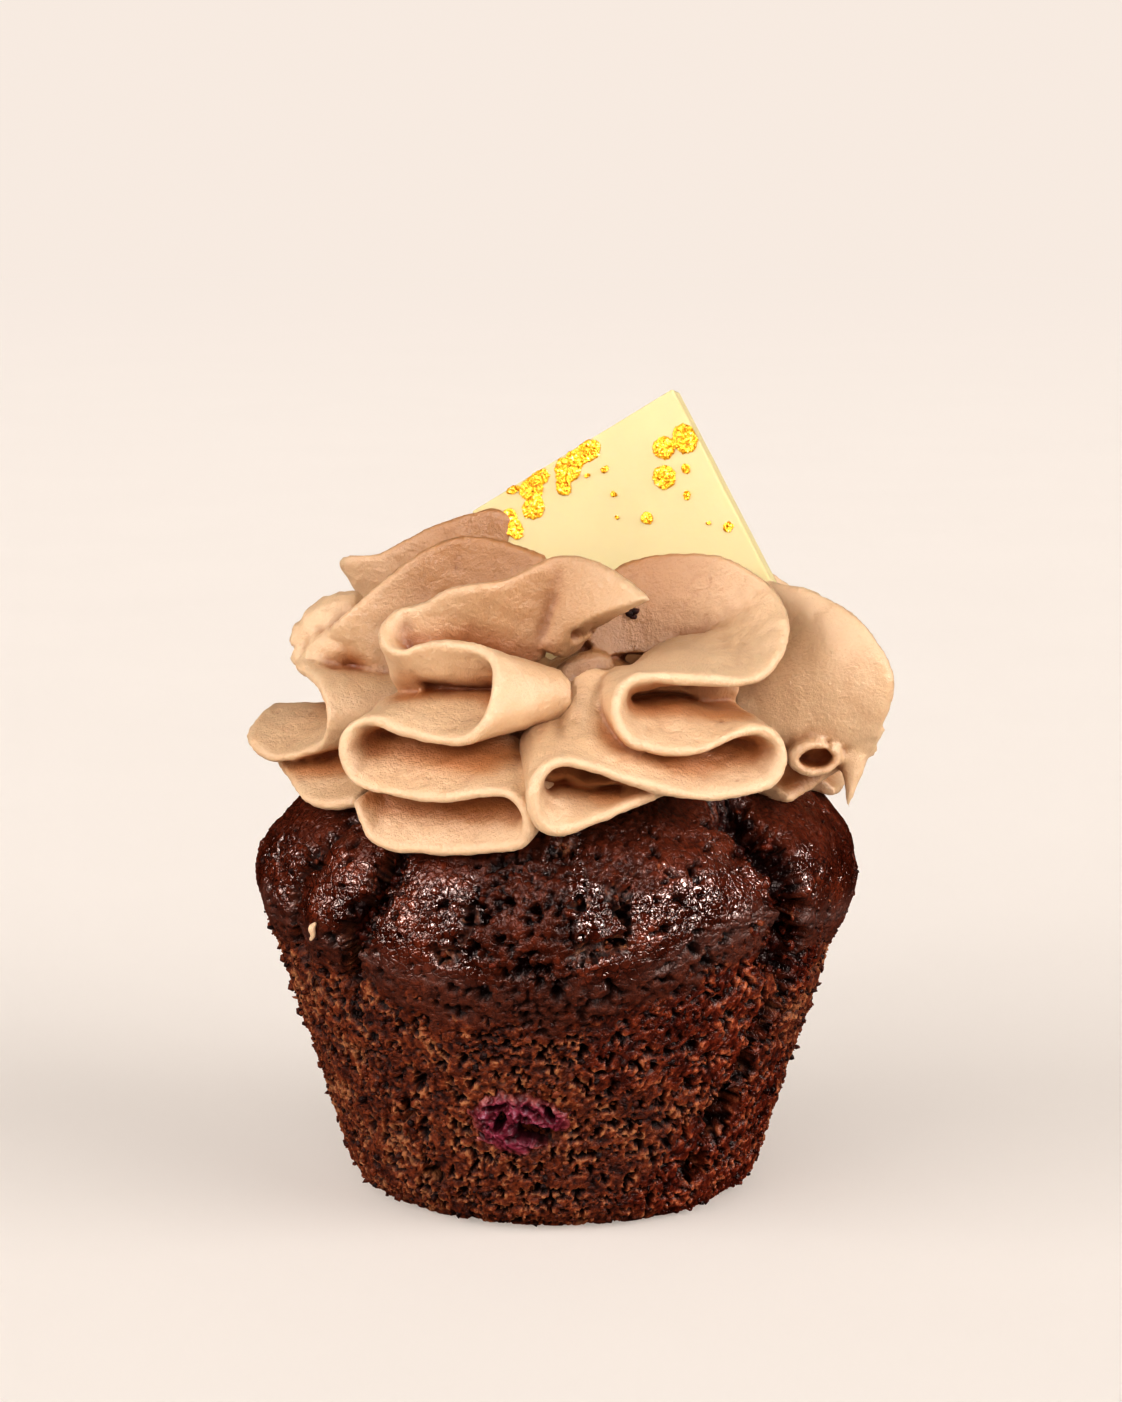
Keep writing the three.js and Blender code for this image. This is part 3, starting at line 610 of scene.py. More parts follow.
def build_sponge(crumb_look, crust_look):
    """The crumb below and the crust above, as two closed skins that meet along the crust's edge."""
    grid, values, crack, edge_row = sponge_surface()
    rows, columns = grid.shape[:2]
    for name, look, first, last, tucked in (
        ("sponge_crumb", crumb_look, 0, edge_row + 1, -1),
        ("sponge_crust", crust_look, edge_row - 1, rows - 1, 0),
    ):
        points, faces = closed_band(grid, first, last, tucked)
        inside = slice(first * columns, (last + 1) * columns)
        part = {key: np.append(data[inside], [0, 0]) for key, data in values.items()}
        piece = make_piece(name, points, faces, look, part)
        if look is crust_look:
            dull_where_rubbed(piece, part["moist"], crumb_look)
        finish_piece(piece, "sponge", "sponge")
    build_granules(grid, values, crack, crumb_look)


# the corners of each face of an icosahedron
ICO_FACES = [
    (0, 11, 5), (0, 5, 1), (0, 1, 7), (0, 7, 10), (0, 10, 11), (1, 5, 9), (5, 11, 4), (11, 10, 2),
    (10, 7, 6), (7, 1, 8), (3, 9, 4), (3, 4, 2), (3, 2, 6), (3, 6, 8), (3, 8, 9), (4, 9, 5),
    (2, 4, 11), (6, 2, 10), (8, 6, 7), (9, 8, 1),
]  # fmt: skip


def ico_points():
    """The twelve corners of an icosahedron of radius 1."""
    golden = (1 + math.sqrt(5)) / 2
    corners = []
    for shift in range(3):
        for a, b in ((-1, golden), (1, golden), (-1, -golden), (1, -golden)):
            corners.append(np.roll([a, b, 0], shift))
    return np.array(corners) / math.hypot(1, golden)


def crumb_values(tone, wet):
    """Values at the points of loose crumb: how pale and how moist they are."""
    zero = 0 * tone
    return {"crust": zero, "hollow": zero, "skirt": zero, "raised": tone, "moist": wet}


def granule_mesh(places, sizes, seed):
    """One mesh of small uneven lumps."""
    random = np.random.default_rng(seed)
    ball = ico_points()
    squash = random.uniform(0.5, 1.5, (len(places), 1, 3))
    bumps = random.uniform(0.6, 1.35, (len(places), len(ball), 1))
    points = places[:, None] + ball[None] * squash * bumps * sizes[:, None, None]
    faces = [tuple(12 * i + v for v in face) for i in range(len(places)) for face in ICO_FACES]
    return points.reshape(-1, 3), faces


def build_granules(grid, values, crack, material):
    """Loose crumbs clinging to the sponge, thickest on the torn crumb and biggest in the cracks."""
    random = np.random.default_rng(5)
    normals = grid_normals(grid).reshape(-1, 3)
    points = grid.reshape(-1, 3)
    radius = np.hypot(points[:, 0], points[:, 1])
    wanted = (1.03 - values["crust"]) * radius * (points[:, 2] > 0.6) * (points[:, 2] < 50)
    wanted *= (1 + 4 * smoothstep(crack, 0.5, 2)) * (np.linalg.norm(normals, axis=1) > 0.5)
    chosen = random.choice(len(points), GRANULES, replace=False, p=wanted / wanted.sum())
    in_crack = smoothstep(crack[chosen], 0.8, 2.2)
    sizes = (0.16 + 0.32 * random.random(GRANULES) ** 2.5) * (1 + 1.9 * in_crack * random.random(GRANULES))
    places = points[chosen] + normals[chosen] * (0.3 * sizes)[:, None]
    places[:, 2] = np.maximum(places[:, 2], sizes * 1.2)
    mesh, faces = granule_mesh(places, sizes, 6)
    # painted shade: granules deep in the cracks get a darker tone
    tone = np.repeat(random.uniform(0.1, 0.8, GRANULES) * (1 - 0.3 * in_crack), 12)
    wet = np.repeat(np.maximum(values["moist"][chosen], in_crack), 12)
    piece = make_piece("sponge_granules", mesh, faces, material, crumb_values(tone, wet))
    finish_piece(piece, "sponge", "sponge")


# ---- fruit piece ----

FRUIT_GRID = (60, 200)  # rings of the flesh, and points in each


def fruit_holes(flat):
    """How far each point of the flat piece is inside one of its torn holes, 0 outside and 1 well inside."""
    x = flat[:, 0] + 0.35 * noise(flat, 1.3, 53)
    y = flat[:, 1] + 0.3 * noise(flat, 1.1, 54)
    inside = np.zeros(len(flat))
    for middle_x, middle_y, half_width, half_height, tilt in FRUIT_HOLES:
        turn = math.radians(tilt)
        along = (x - middle_x) * math.cos(turn) + (y - middle_y) * math.sin(turn)
        across = (y - middle_y) * math.cos(turn) - (x - middle_x) * math.sin(turn)
        size = np.hypot(along / half_width, across / half_height)
        inside = np.maximum(inside, smoothstep(-size, -1.15, -0.75))
    return inside


def build_fruit(material):
    """The berry flesh in the side: torn and fibrous, with hollows in it, sunk into the crumb at its rim."""
    out, side = compass(FRUIT["azimuth"])
    slope = math.atan2(BODY_RADIUS_RIM - BODY_RADIUS_LOW, RIM_HEIGHT)
    up = UP * math.cos(slope) + out * math.sin(slope)
    face = out * math.cos(slope) - UP * math.sin(slope)
    reach = BODY_RADIUS_LOW + math.tan(slope) * FRUIT["height"]
    centre = out * reach + UP * FRUIT["height"]
    rows, columns = FRUIT_GRID
    share = np.linspace(0.0, 1.0, rows)[:, None]
    turn = np.linspace(2 * math.pi, 0, columns, endpoint=False)[None, :]
    ragged = 1 + 0.07 * np.sin(3 * turn + 1) + 0.05 * np.sin(7 * turn) + 0.04 * np.sin(13 * turn + 2)
    x = share * FRUIT["half_width"] * ragged * np.cos(turn)
    y = share * FRUIT["half_height"] * ragged * np.sin(turn)
    flat = np.stack([x, y, 0 * x], axis=2).reshape(-1, 3)
    holes = fruit_holes(flat)
    rim = smoothstep(share + 0 * turn, 0.62, 0.98).ravel()
    fibres = 1 - 2 * np.abs(noise(pulled(flat, 0.9, 2.4, 55, 2) * [1.1, 0.7, 1], 0.9, 51))
    relief = 0.3 * fibres + 0.35 * fractal(flat, 1.2, 52, 3)
    depth = 0.2 + relief - 2.6 * holes - 0.9 * rim**2
    bow = -(flat[:, 0] ** 2) / (2 * reach)
    points = centre + flat[:, :1] * side + flat[:, 1:2] * up + (depth + bow)[:, None] * face
    rings = points.reshape(rows, columns, 3)
    back = rings[-1] - FRUIT_DEPTH * face
    points, faces = closed_rings(np.concatenate([rings[1:], [back]]), points[0], back.mean(axis=0))
    # painted shade and highlight: hollow darkens the holes, raised pales the flesh where it stands out
    values = {"hollow": holes, "raised": np.clip(0.5 + 0.9 * relief, 0, 1), "rim": rim}
    for key, data in values.items():
        values[key] = np.concatenate([data[columns:], data[-columns:], [data[0], data[-1]]])
    finish_piece(make_piece("fruit_flesh", points, faces, material, values), "fruit", "fruit_piece")


# ---- piped ruffles ----

RIBBON_PER_SPAN = 10
RIBBON_ACROSS = 18
LIP_STEPS = 5  # facets round the ribbon's lip
FROSTING_VOXEL = 0.46
FRONT_VOXEL = 0.38  # the two front ruffles are seen closest
MIDDLE_SHADE_RADII = (13, 33)  # from the painted shade in the middle of the frosting to its unshaded outside
SHAPE_SPREAD = 18  # smoothing steps behind the painted shade in the creases and folds
SKIN_SMOOTHING = 3  # smoothing steps over the merged skin
ENCLOSURE_CELL = 1.4  # size of the blocks in which a fold's crowding is counted
ENCLOSURE_REACHES = (2.6, 4.0)  # how far in front of a point it is looked for
CURL_TURN = range(70, 411, 20)  # degrees round the rolled end, which is open near its top
HEART_SETBACK = 1.5  # how far a ruffle's heart lies behind its centre
TUBE_START = np.array([0.31, 0.87, 0.38])  # any direction that no strand runs along


def ribbon_knots(folds):
    """Knots of a ribbon: side, angle and reach of the lip, then of the root. Angles are arc lengths."""
    arc = math.radians(ANGLE_SCALE)
    knots = []
    for side, angle, opening, reach, root_side, rise, root_reach in folds:
        root_angle = angle + rise
        if not opening:
            knots.append((side, angle * arc, reach, root_side, root_angle, root_reach))
            continue
        back = math.copysign(min(FOLD_LOOP, opening * arc), side)
        for inward, turn in ((1, -1), (0.3, -0.72), (0, 0), (0.3, 0.72), (1, 1)):
            lip = (side - back * inward, (angle + opening * turn) * arc, reach)
            root = (root_side - back * inward, root_angle + ROOT_OPENING * opening * turn, root_reach)
            knots.append(lip + root)
    return np.array(knots, float)


def ribbon_spline(knots, per_span):
    """Centripetal spline through the knots."""
    rows = np.vstack([2 * knots[0] - knots[1], knots, 2 * knots[-1] - knots[-2]])
    steps = np.sqrt(np.maximum(np.linalg.norm(np.diff(rows[:, :2], axis=0), axis=1), 1e-6))
    out = []
    for p0, p1, p2, p3, *gaps in zip(rows, rows[1:], rows[2:], rows[3:], steps, steps[1:], steps[2:]):
        t1, t2, t3 = np.cumsum(gaps)
        for t in np.linspace(t1, t2, per_span, endpoint=False):
            a1 = ((t1 - t) * p0 + t * p1) / t1
            a2 = ((t2 - t) * p1 + (t - t1) * p2) / (t2 - t1)
            a3 = ((t3 - t) * p2 + (t - t2) * p3) / (t3 - t2)
            b1 = ((t2 - t) * a1 + t * a2) / t2
            b2 = ((t3 - t) * a2 + (t - t1) * a3) / (t3 - t1)
            out.append(((t2 - t) * b1 + (t - t1) * b2) / (t2 - t1))
    out.append(knots[-1])
    return np.array(out)


def ruffle_axes(ruffle):
    """The ruffle's directions out and to the side, and the centre of its arc."""
    out, side = compass(ruffle["azimuth"])
    return out, side, out * ruffle["centre"][0] + UP * ruffle["centre"][1]


def ribbon_line(ruffle, sides, degrees, reach):
    """Points by their side, angle above the level and distance from the ruffle's centre."""
    out, side, middle = ruffle_axes(ruffle)
    angle = np.radians(degrees)[:, None]
    reach = reach[:, None]
    return middle + sides[:, None] * side + reach * np.cos(angle) * out + reach * np.sin(angle) * UP


def ribbon_sheet(ruffle):
    """Middle surface of the ribbon from root to lip: (across, along, 3), and its unit normals."""
    path = ribbon_spline(ribbon_knots(ruffle["folds"]), RIBBON_PER_SPAN)
    lip = ribbon_line(ruffle, path[:, 0], path[:, 1] / math.radians(ANGLE_SCALE), path[:, 2])
    root = ribbon_line(ruffle, path[:, 3], path[:, 4], path[:, 5])
    across = np.linspace(0, 1, RIBBON_ACROSS)[:, None, None]
    sheet = root * (1 - across) + lip * across
    return sheet, unit(np.cross(np.gradient(sheet, axis=1), np.gradient(sheet, axis=0)))


def ribbon_skin(ruffle):
    """Closed skin of the ribbon, a wedge with its thin side out: one face, the lip and the other face."""
    sheet, normals = ribbon_sheet(ruffle)
    depth = 1 - np.linspace(0, 1, RIBBON_ACROSS)[:, None, None]
    half = 0.5 * (EDGE_THICKNESS + (ROOT_THICKNESS - EDGE_THICKNESS) * depth)
    outward = unit(sheet[-1] - sheet[-2])
    lip = []
    for k in range(1, LIP_STEPS):
        turn = math.pi * k / LIP_STEPS
        lip.append(sheet[-1] + half[-1] * (normals[-1] * math.cos(turn) + outward * math.sin(turn)))
    skin = np.concatenate([sheet + half * normals, np.array(lip), (sheet - half * normals)[::-1]])
    return skin.reshape(-1, 3), ribbon_faces(*skin.shape[:2])


def ribbon_faces(rows, columns):
    """Quads of a ribbon's skin, the caps at its two ends and the strip along its root."""
    first = [i * columns for i in range(rows)]
    caps = [tuple(reversed(first)), tuple(i + columns - 1 for i in first)]
    last = (rows - 1) * columns
    root = [(last + j, last + j + 1, j + 1, j) for j in range(columns - 1)]
    return grid_faces(rows, columns, False) + caps + root


def heart_skin(ruffle, rows=28, columns=40):
    """Rounded heart of a ruffle, hidden behind its folds."""
    out, side, middle = ruffle_axes(ruffle)
    polar = np.linspace(0.05, math.pi - 0.05, rows)[:, None, None]
    turn = full_turn(columns)[None, :, None]
    width, size = ruffle["heart"]
    ball = np.cos(polar) * width * side + np.sin(polar) * np.cos(turn) * size * out
    ball = middle - HEART_SETBACK * out + ball + np.sin(polar) * np.sin(turn) * size * UP
    return ball.reshape(-1, 3), tube_faces(rows, columns)


def strand_skin(stations, sides=14, per_span=6):
    """A closed tube through (x, y, z, radius) stations."""
    samples = np.linspace(0, len(stations) - 1, per_span * (len(stations) - 1) + 1)
    path = curve_through(np.array(stations, float), samples)
    along = unit(np.gradient(path[:, :3], axis=0))
    across = unit(np.cross(along, TUBE_START))
    over = np.cross(along, across)
    turn = full_turn(sides)[None, :, None]
    ring = across[:, None] * np.cos(turn) + over[:, None] * np.sin(turn)
    points = path[:, None, :3] + ring * path[:, None, 3:]
    return points.reshape(-1, 3), tube_faces(len(path), sides)


def curl_skins():
    """The lip's rolled end: rings of an oval tube, one behind the other."""
    x, y, z = CURL["centre"]
    rings = []
    for step in range(CURL["depth"]):
        stations = []
        for degrees in CURL_TURN:
            turn = math.radians(degrees)
            slant = 0.5 * math.cos(turn)
            across, rise = CURL["half_width"] * math.cos(turn), CURL["half_height"] * math.sin(turn)
            stations.append((x + across, y + step + slant, z + rise, CURL["radius"]))
        rings.append(strand_skin(stations, per_span=2))
    return rings


def joined_skin(parts):
    """Puts several (points, faces) skins into one."""
    points, faces, offset = [], [], 0
    for part_points, part_faces in parts:
        points.append(part_points)
        faces += [tuple(offset + v for v in face) for face in part_faces]
        offset += len(part_points)
    return np.vstack(points), faces


def merged(name, parts, voxel):
    """One clean outer skin round overlapping closed skins: points, normals and faces."""
    mesh = make_mesh(name, *joined_skin(parts))
    rough = add_object(name, mesh)
    remesh = rough.modifiers.new("skin", "REMESH")
    remesh.mode = "VOXEL"
    remesh.voxel_size = voxel
    soften = rough.modifiers.new("soften", "SMOOTH")
    soften.iterations = SKIN_SMOOTHING
    clean = bpy.data.meshes.new_from_object(rough.evaluated_get(bpy.context.evaluated_depsgraph_get()))
    places = np.empty(len(clean.vertices) * 3)
    clean.vertices.foreach_get("co", places)
    normals = np.array([vertex.normal[:] for vertex in clean.vertices])
    outline = [tuple(face.vertices) for face in clean.polygons]
    bpy.data.objects.remove(rough)
    bpy.data.meshes.remove(mesh)
    bpy.data.meshes.remove(clean)
    return places.reshape(-1, 3), normals, outline


def frosting_relief(points):
    """Slight waviness and a few air holes of piped buttercream, in millimetres."""
    waves = 0.22 * fractal(points, 7, 61, 2) + 0.11 * fractal(points, 1.9, 62, 3)
    first, _, label = cells(points, 3.0, 63)
    bubbles = np.where(label > 0.75, np.clip(1 - first / 0.13, 0, 1), 0)
    return waves - 0.5 * bubbles


def distance_to_line(points, line):
    """Distance from each point to a line through the given corners."""
    nearest = np.full(len(points), 1e9)
    for start, end in zip(line, line[1:]):
        start, step = np.array(start, float), np.subtract(end, start)
        share = np.clip((points - start) @ step / (step @ step), 0, 1)
        nearest = np.minimum(nearest, np.linalg.norm(points - start - share[:, None] * step, axis=1))
    return nearest


def spread_out(values, faces, passes):
    """Averages (points, n) values over a skin's neighbouring points, a number of times."""
    quads = np.array([face if len(face) == 4 else (*face, face[0]) for face in faces])
    a = quads.T.ravel()
    b = np.roll(quads, -1, axis=1).T.ravel()
    size = len(values)
    count = np.bincount(a, minlength=size) + np.bincount(b, minlength=size)
    for _ in range(passes):
        sums = [np.bincount(a, column[b], size) + np.bincount(b, column[a], size) for column in values.T]
        values = 0.3 * values + 0.7 * np.stack(sums, axis=1) / np.maximum(count, 1)[:, None]
    return values


def enclosure(points, normals):
    """How much of a skin lies close in front of each of its points: 0 in the open, 1 deep in a fold."""
    corner = points.min(axis=0)
    cell = ((points - corner) / ENCLOSURE_CELL).astype(int) + 4
    crowd = np.zeros(cell.max(axis=0) + 5)
    np.add.at(crowd, tuple(cell.T), 1)
    full = np.percentile(crowd[crowd > 0], 60)
    for axis in (0, 1, 2, 0, 1, 2):
        crowd = (np.roll(crowd, 1, axis) + 2 * crowd + np.roll(crowd, -1, axis)) / 4
    met = np.zeros(len(points))
    for reach in ENCLOSURE_REACHES:
        ahead = ((points + reach * normals - corner) / ENCLOSURE_CELL).astype(int) + 4
        inside = np.clip(ahead, 0, np.array(crowd.shape) - 1)
        met += crowd[tuple(inside.T)] / (full * len(ENCLOSURE_REACHES))
    return smoothstep(met, 0.12, 0.55)


def build_ruffle(name, ruffle, material):
    """One ruffle: ribbon, heart and strands in one skin, with its slits, relief and values."""
    parts = [ribbon_skin(ruffle), heart_skin(ruffle)]
    parts += [strand_skin(strand) for strand in STRANDS.get(name, [])]
    if name == CURLED:
        parts += curl_skins()
    points, normals, faces = merged(name, parts, FRONT_VOXEL if "front" in name else FROSTING_VOXEL)
    inward = -ruffle_axes(ruffle)[0]
    for slit in SLITS.get(name, []):
        pressed = bell(distance_to_line(points, slit), SLIT_HALF_WIDTH)
        points = points + SLIT_DEPTH * pressed[:, None] * inward
    relief = frosting_relief(points)
    if name in LUMPY:
        middle, size = LUMPY[name]
        rough = bell(np.linalg.norm(points - middle, axis=1), size)
        relief += rough * (0.55 * fractal(points, 3.2, 64, 2) + 0.3 * np.abs(noise(points, 1.3, 65)))
    points = points + normals * relief[:, None]
    # painted shade: shape falls low in the creases, and the material darkens them there
    standing = np.sum((points - spread_out(points, faces, SHAPE_SPREAD)) * normals, axis=1)
    # painted shade: outer is 0 in the middle of the frosting, whose colour is darkened there as shade, and 1
    # outside
    outer = smoothstep(np.hypot(points[:, 0], points[:, 1]), *MIDDLE_SHADE_RADII)
    # painted shade: deep is how crowded a fold is in front of a point, and the material darkens the colour
    # there
    deep = spread_out(enclosure(points, normals)[:, None], faces, SHAPE_SPREAD // 3)[:, 0]
    values = {"shape": np.clip(0.5 + 0.9 * standing, 0, 1), "outer": outer, "deep": deep}
    finish_piece(make_piece(name + "_frosting", points, faces, material, values), "frosting", name)


# ---- white chocolate and gold leaf ----

PLATE_STEPS = 62  # points along each edge


def plate_axes():
    """Unit vectors across the white chocolate to the right, up it, and out of its back."""
    turn, lean, roll = (math.radians(PLATE[k]) for k in ("turn", "lean", "roll"))
    level = np.array([math.cos(turn), -math.sin(turn), 0])
    back = np.array([math.sin(turn) * math.cos(lean), math.cos(turn) * math.cos(lean), -math.sin(lean)])
    rise = np.cross(level, back)
    right = level * math.cos(roll) + rise * math.sin(roll)
    up = rise * math.cos(roll) - level * math.sin(roll)
    return right, up, back


def build_plate(material):
    """A thin, slightly wavy square with softened edges."""
    right, up, back = plate_axes()
    x = np.linspace(-PLATE["width"], 0, PLATE_STEPS)[None, :, None]
    y = np.linspace(-PLATE["height"], 0, PLATE_STEPS)[:, None, None]
    flat = np.array(PLATE_CORNER) + (x * right + y * up)
    points = []
    for depth in (0.0, PLATE["thickness"]):
        wave = 0.12 * fractal(flat.reshape(-1, 3), 14, 71 + int(depth), 2).reshape(*flat.shape[:2], 1)
        points.append((flat + (depth + wave) * back).reshape(-1, 3))
    front = grid_faces(PLATE_STEPS, PLATE_STEPS, False)
    shift = PLATE_STEPS**2
    number = np.arange(shift).reshape(PLATE_STEPS, PLATE_STEPS)
    loop = [*number[0], *number[1:, -1], *number[-1, -2::-1], *number[-2:0:-1, 0]]
    faces = front + [tuple(v + shift for v in reversed(face)) for face in front]
    faces += [(b, a, a + shift, b + shift) for a, b in zip(loop, loop[1:] + loop[:1])]
    piece = make_piece("white_chocolate_plate", np.vstack(points), faces, material, smooth=False)
    bevel = piece.modifiers.new("soft_edges", "BEVEL")
    bevel.width = 0.3 * MM
    bevel.segments = 3
    bevel.limit_method = "ANGLE"
    bevel.angle_limit = math.radians(50)
    finish_piece(piece, "white_chocolate", "white_chocolate_square")


GOLD_CELL = 0.14  # size of the small blocks that the gold leaf is made of
GOLD_REACH = (29, 21)  # how far across and down from the corner it lies


def gold_field(flat):
    """Above 0 where the plate's face is covered by gold leaf: ragged, overlapping patches and specks."""
    u, v = (flat[:, k] + 0.22 * fractal(flat, 1.1, 81 + k, 3) for k in (0, 1))
    field = np.full(len(flat), -1.0)
    for middle_u, middle_v, half_width, half_height in GOLD:
        field = np.maximum(field, 1 - np.hypot((u - middle_u) / half_width, (v - middle_v) / half_height))
    return field


def build_gold(material):
    """Crumpled flakes of gold leaf on the plate's front, one small block to each covered cell."""
    right, up, back = plate_axes()
    u, v = np.meshgrid(*(np.arange(-reach, 0.01, GOLD_CELL) for reach in GOLD_REACH))
    flat = np.stack([u.ravel(), v.ravel(), 0 * u.ravel()], axis=1)
    field = gold_field(flat)
    covered = field.reshape(u.shape) > 0
    inside = covered[:-1, :-1] & covered[1:, :-1] & covered[:-1, 1:] & covered[1:, 1:]
    crumple = 0.12 + 0.3 * np.abs(noise(flat, 0.45, 83)) + 0.12 * np.abs(noise(flat, 0.9, 84))
    lift = crumple * smoothstep(field, 0, 0.15) + 0.04
    face = np.array(PLATE_CORNER) + flat[:, :1] * right + flat[:, 1:2] * up
    points = np.vstack([face - lift[:, None] * back, face + 0.25 * back])
    number = np.arange(u.size).reshape(u.shape)
    below = u.size
    around = np.pad(inside, 1)
    faces = []
    for i, j in np.argwhere(inside):
        corners = [number[i, j], number[i, j + 1], number[i + 1, j + 1], number[i + 1, j]]
        faces += [tuple(corners), tuple(below + c for c in reversed(corners))]
        for side, (row, column) in enumerate(((i - 1, j), (i, j + 1), (i + 1, j), (i, j - 1))):
            if not around[row + 1, column + 1]:
                a, b = corners[side], corners[(side + 1) % 4]
                faces.append((b, a, below + a, below + b))
    used = np.unique(np.concatenate([np.array(face) for face in faces]))
    number = {old: new for new, old in enumerate(used)}
    faces = [tuple(number[c] for c in face) for face in faces]
    piece = make_piece("gold_leaf", points[used], faces, material, smooth=False)
    finish_piece(piece, "white_chocolate")


# ---- loose bits: (x, y, z, size) of each lump and station ----

DARK_CRUMB = [(9.1, -12.4, 74.2, 0.7), (9.6, -12.3, 74.4, 0.6), (9.4, -12.6, 73.7, 0.55)]
FLECK = [
    (-28.6, -24.5, 38.5, 0.14), (-29.1, -24.4, 37.8, 0.44),
    (-29.0, -24.2, 36.9, 0.32), (-29.3, -23.8, 36.2, 0.18),
]  # fmt: skip


def build_bits(crumb_look, buttercream):
    """A dark crumb under the front petal's tip and a fleck of frosting on the side of the sponge."""
    lumps = np.array(DARK_CRUMB)
    points, faces = granule_mesh(lumps[:, :3], lumps[:, 3], 8)
    tone = np.full(len(points), 0.3)
    finish_piece(make_piece("dark_crumb", points, faces, crumb_look, crumb_values(tone, tone)), "sponge")
    points, faces = strand_skin(FLECK)
    one = np.ones(len(points))
    values = {"shape": one * 0.8, "outer": one, "deep": one * 0}
    finish_piece(make_piece("frosting_fleck", points, faces, buttercream, values), "frosting")


# ---- materials ----


class Look:
    """A node tree and short ways to add to it. A source is a number, a linear colour or a node's output."""

    def __init__(self, owner):
        owner.use_nodes = True
        self.tree = owner.node_tree

    def feed(self, node, sources):
        for key, source in sources.items():
            socket = node.inputs[key]
            if isinstance(source, bpy.types.NodeSocket):
                self.tree.links.new(source, socket)
            elif isinstance(source, tuple) and len(source) < len(socket.default_value):
                socket.default_value = (*source, 1)
            else:
                socket.default_value = source

    def add(self, kind, sources, **settings):
        node = self.tree.nodes.new("ShaderNode" + kind)
        for key, value in settings.items():
            setattr(node, key, value)
        self.feed(node, sources)
        return node

    def value(self, name):
        """A value stored at the mesh's points."""
        return self.add("Attribute", {}, attribute_name=name).outputs["Fac"]

    def place(self):
        """The object's own coordinates, in metres."""
        return self.add("TexCoord", {}).outputs["Object"]

    def noise(self, scale, detail, output="Fac", **more):
        sources = {"Vector": self.place(), "Scale": scale, "Detail": detail, **more}
        return self.add("TexNoise", sources).outputs[output]

    def cell_edges(self, scale, warp):
        """Distance to the edges of uneven cells: `scale` per metre, pulled about by `warp` metres."""
        pull = {0: self.noise(scale * 0.8, 3, "Color"), 1: (warp, warp, warp), 2: self.place()}
        pulled_place = self.add("VectorMath", pull, operation="MULTIPLY_ADD").outputs[0]
        sources = {"Vector": pulled_place, "Scale": scale}
        return self.add("TexVoronoi", sources, feature="DISTANCE_TO_EDGE").outputs["Distance"]

    def math(self, operation, *sources):
        return self.add("Math", dict(enumerate(sources)), operation=operation).outputs[0]

    def mix(self, share, a, b, blend="MIX"):
        sources = {0: share, 6: a, 7: b}
        return self.add("Mix", sources, data_type="RGBA", blend_type=blend).outputs[2]

    def mix_numbers(self, share, a, b):
        return self.add("Mix", {0: share, 2: a, 3: b}).outputs[0]

    def step(self, source, low, high, at_low, at_high):
        """Smooth step from one number to another."""
        sources = {"Value": source, "From Min": low, "From Max": high, "To Min": at_low, "To Max": at_high}
        return self.add("MapRange", sources, interpolation_type="SMOOTHSTEP").outputs[0]

    def ramp(self, source, stops):
        """Colours by (place, colour) stops."""
        node = self.add("ValToRGB", {"Fac": source})
        elements = node.color_ramp.elements
        while len(elements) < len(stops):
            elements.new(0.5)
        for element, (place, colour) in zip(elements, stops):
            element.position = place
            element.color = (*colour, 1)
        return node.outputs["Color"]

    def bump(self, height, distance, strength=1.0, **below):
        """A bumped normal, with the distance in millimetres."""
        sources = {"Height": height, "Distance": distance * MM, "Strength": strength, **below}
        return self.add("Bump", sources).outputs["Normal"]

    def shade(self, **inputs):
        """Sets the shader's inputs, named with _ for each space."""
        sources = {name.replace("_", " "): source for name, source in inputs.items()}
        self.feed(self.tree.nodes["Principled BSDF"], sources)


def new_material(name):
    material = bpy.data.materials.new(name)
    return material, Look(material)


WHITE = (1.0, 1.0, 1.0)
# painted shade: near black put into whatever is hollow, pores, pits, creases, cracks and crevices
PORE_SHADE = (0.008, 0.0005, 0.0003)
CRUMB_DRY = [
    (0.15, (0.02, 0.0013, 0.0005)),
    (0.45, (0.108, 0.0165, 0.0033)),
    (0.75, (0.235, 0.05, 0.011)),
    (1.0, (0.43, 0.18, 0.075)),
]
CRUMB_MOIST = [
    (0.15, (0.014, 0.0009, 0.0004)),
    (0.45, (0.085, 0.009, 0.0025)),
    (0.75, (0.21, 0.034, 0.01)),
    (1.0, (0.5, 0.16, 0.07)),
]
BAKED_TOP = [(0.36, (0.065, 0.009, 0.0027)), (0.52, (0.14, 0.026, 0.009)), (0.68, (0.24, 0.048, 0.016))]
BAKED_RUBBED = [(0.3, (0.06, 0.01, 0.004)), (0.7, (0.19, 0.042, 0.016))]
BAKED_SKIRT = [(0.3, (0.065, 0.0115, 0.004)), (0.7, (0.165, 0.037, 0.0135))]


def crumb_colour(look, fine, patches):
    """Torn crumb: brown walls, painted shade darkening the pores and hollows, and a painted highlight paling
    the raised tips of the granules.
    """
    # painted highlight: on the sponge the raised value is how far a point stands out, so its tips are paled;
    # on loose crumbs it is a random tone
    tone = look.math("MULTIPLY_ADD", fine, 1.2, look.value("raised"))
    tone = look.math("MULTIPLY_ADD", patches, 0.9, tone)
    tone = look.math("SUBTRACT", tone, 1.07)
    torn = look.mix(look.value("moist"), look.ramp(tone, CRUMB_DRY), look.ramp(tone, CRUMB_MOIST))
    # painted shade: darkened towards near black where the crumb is hollow
    return look.mix(look.value("hollow"), torn, PORE_SHADE)


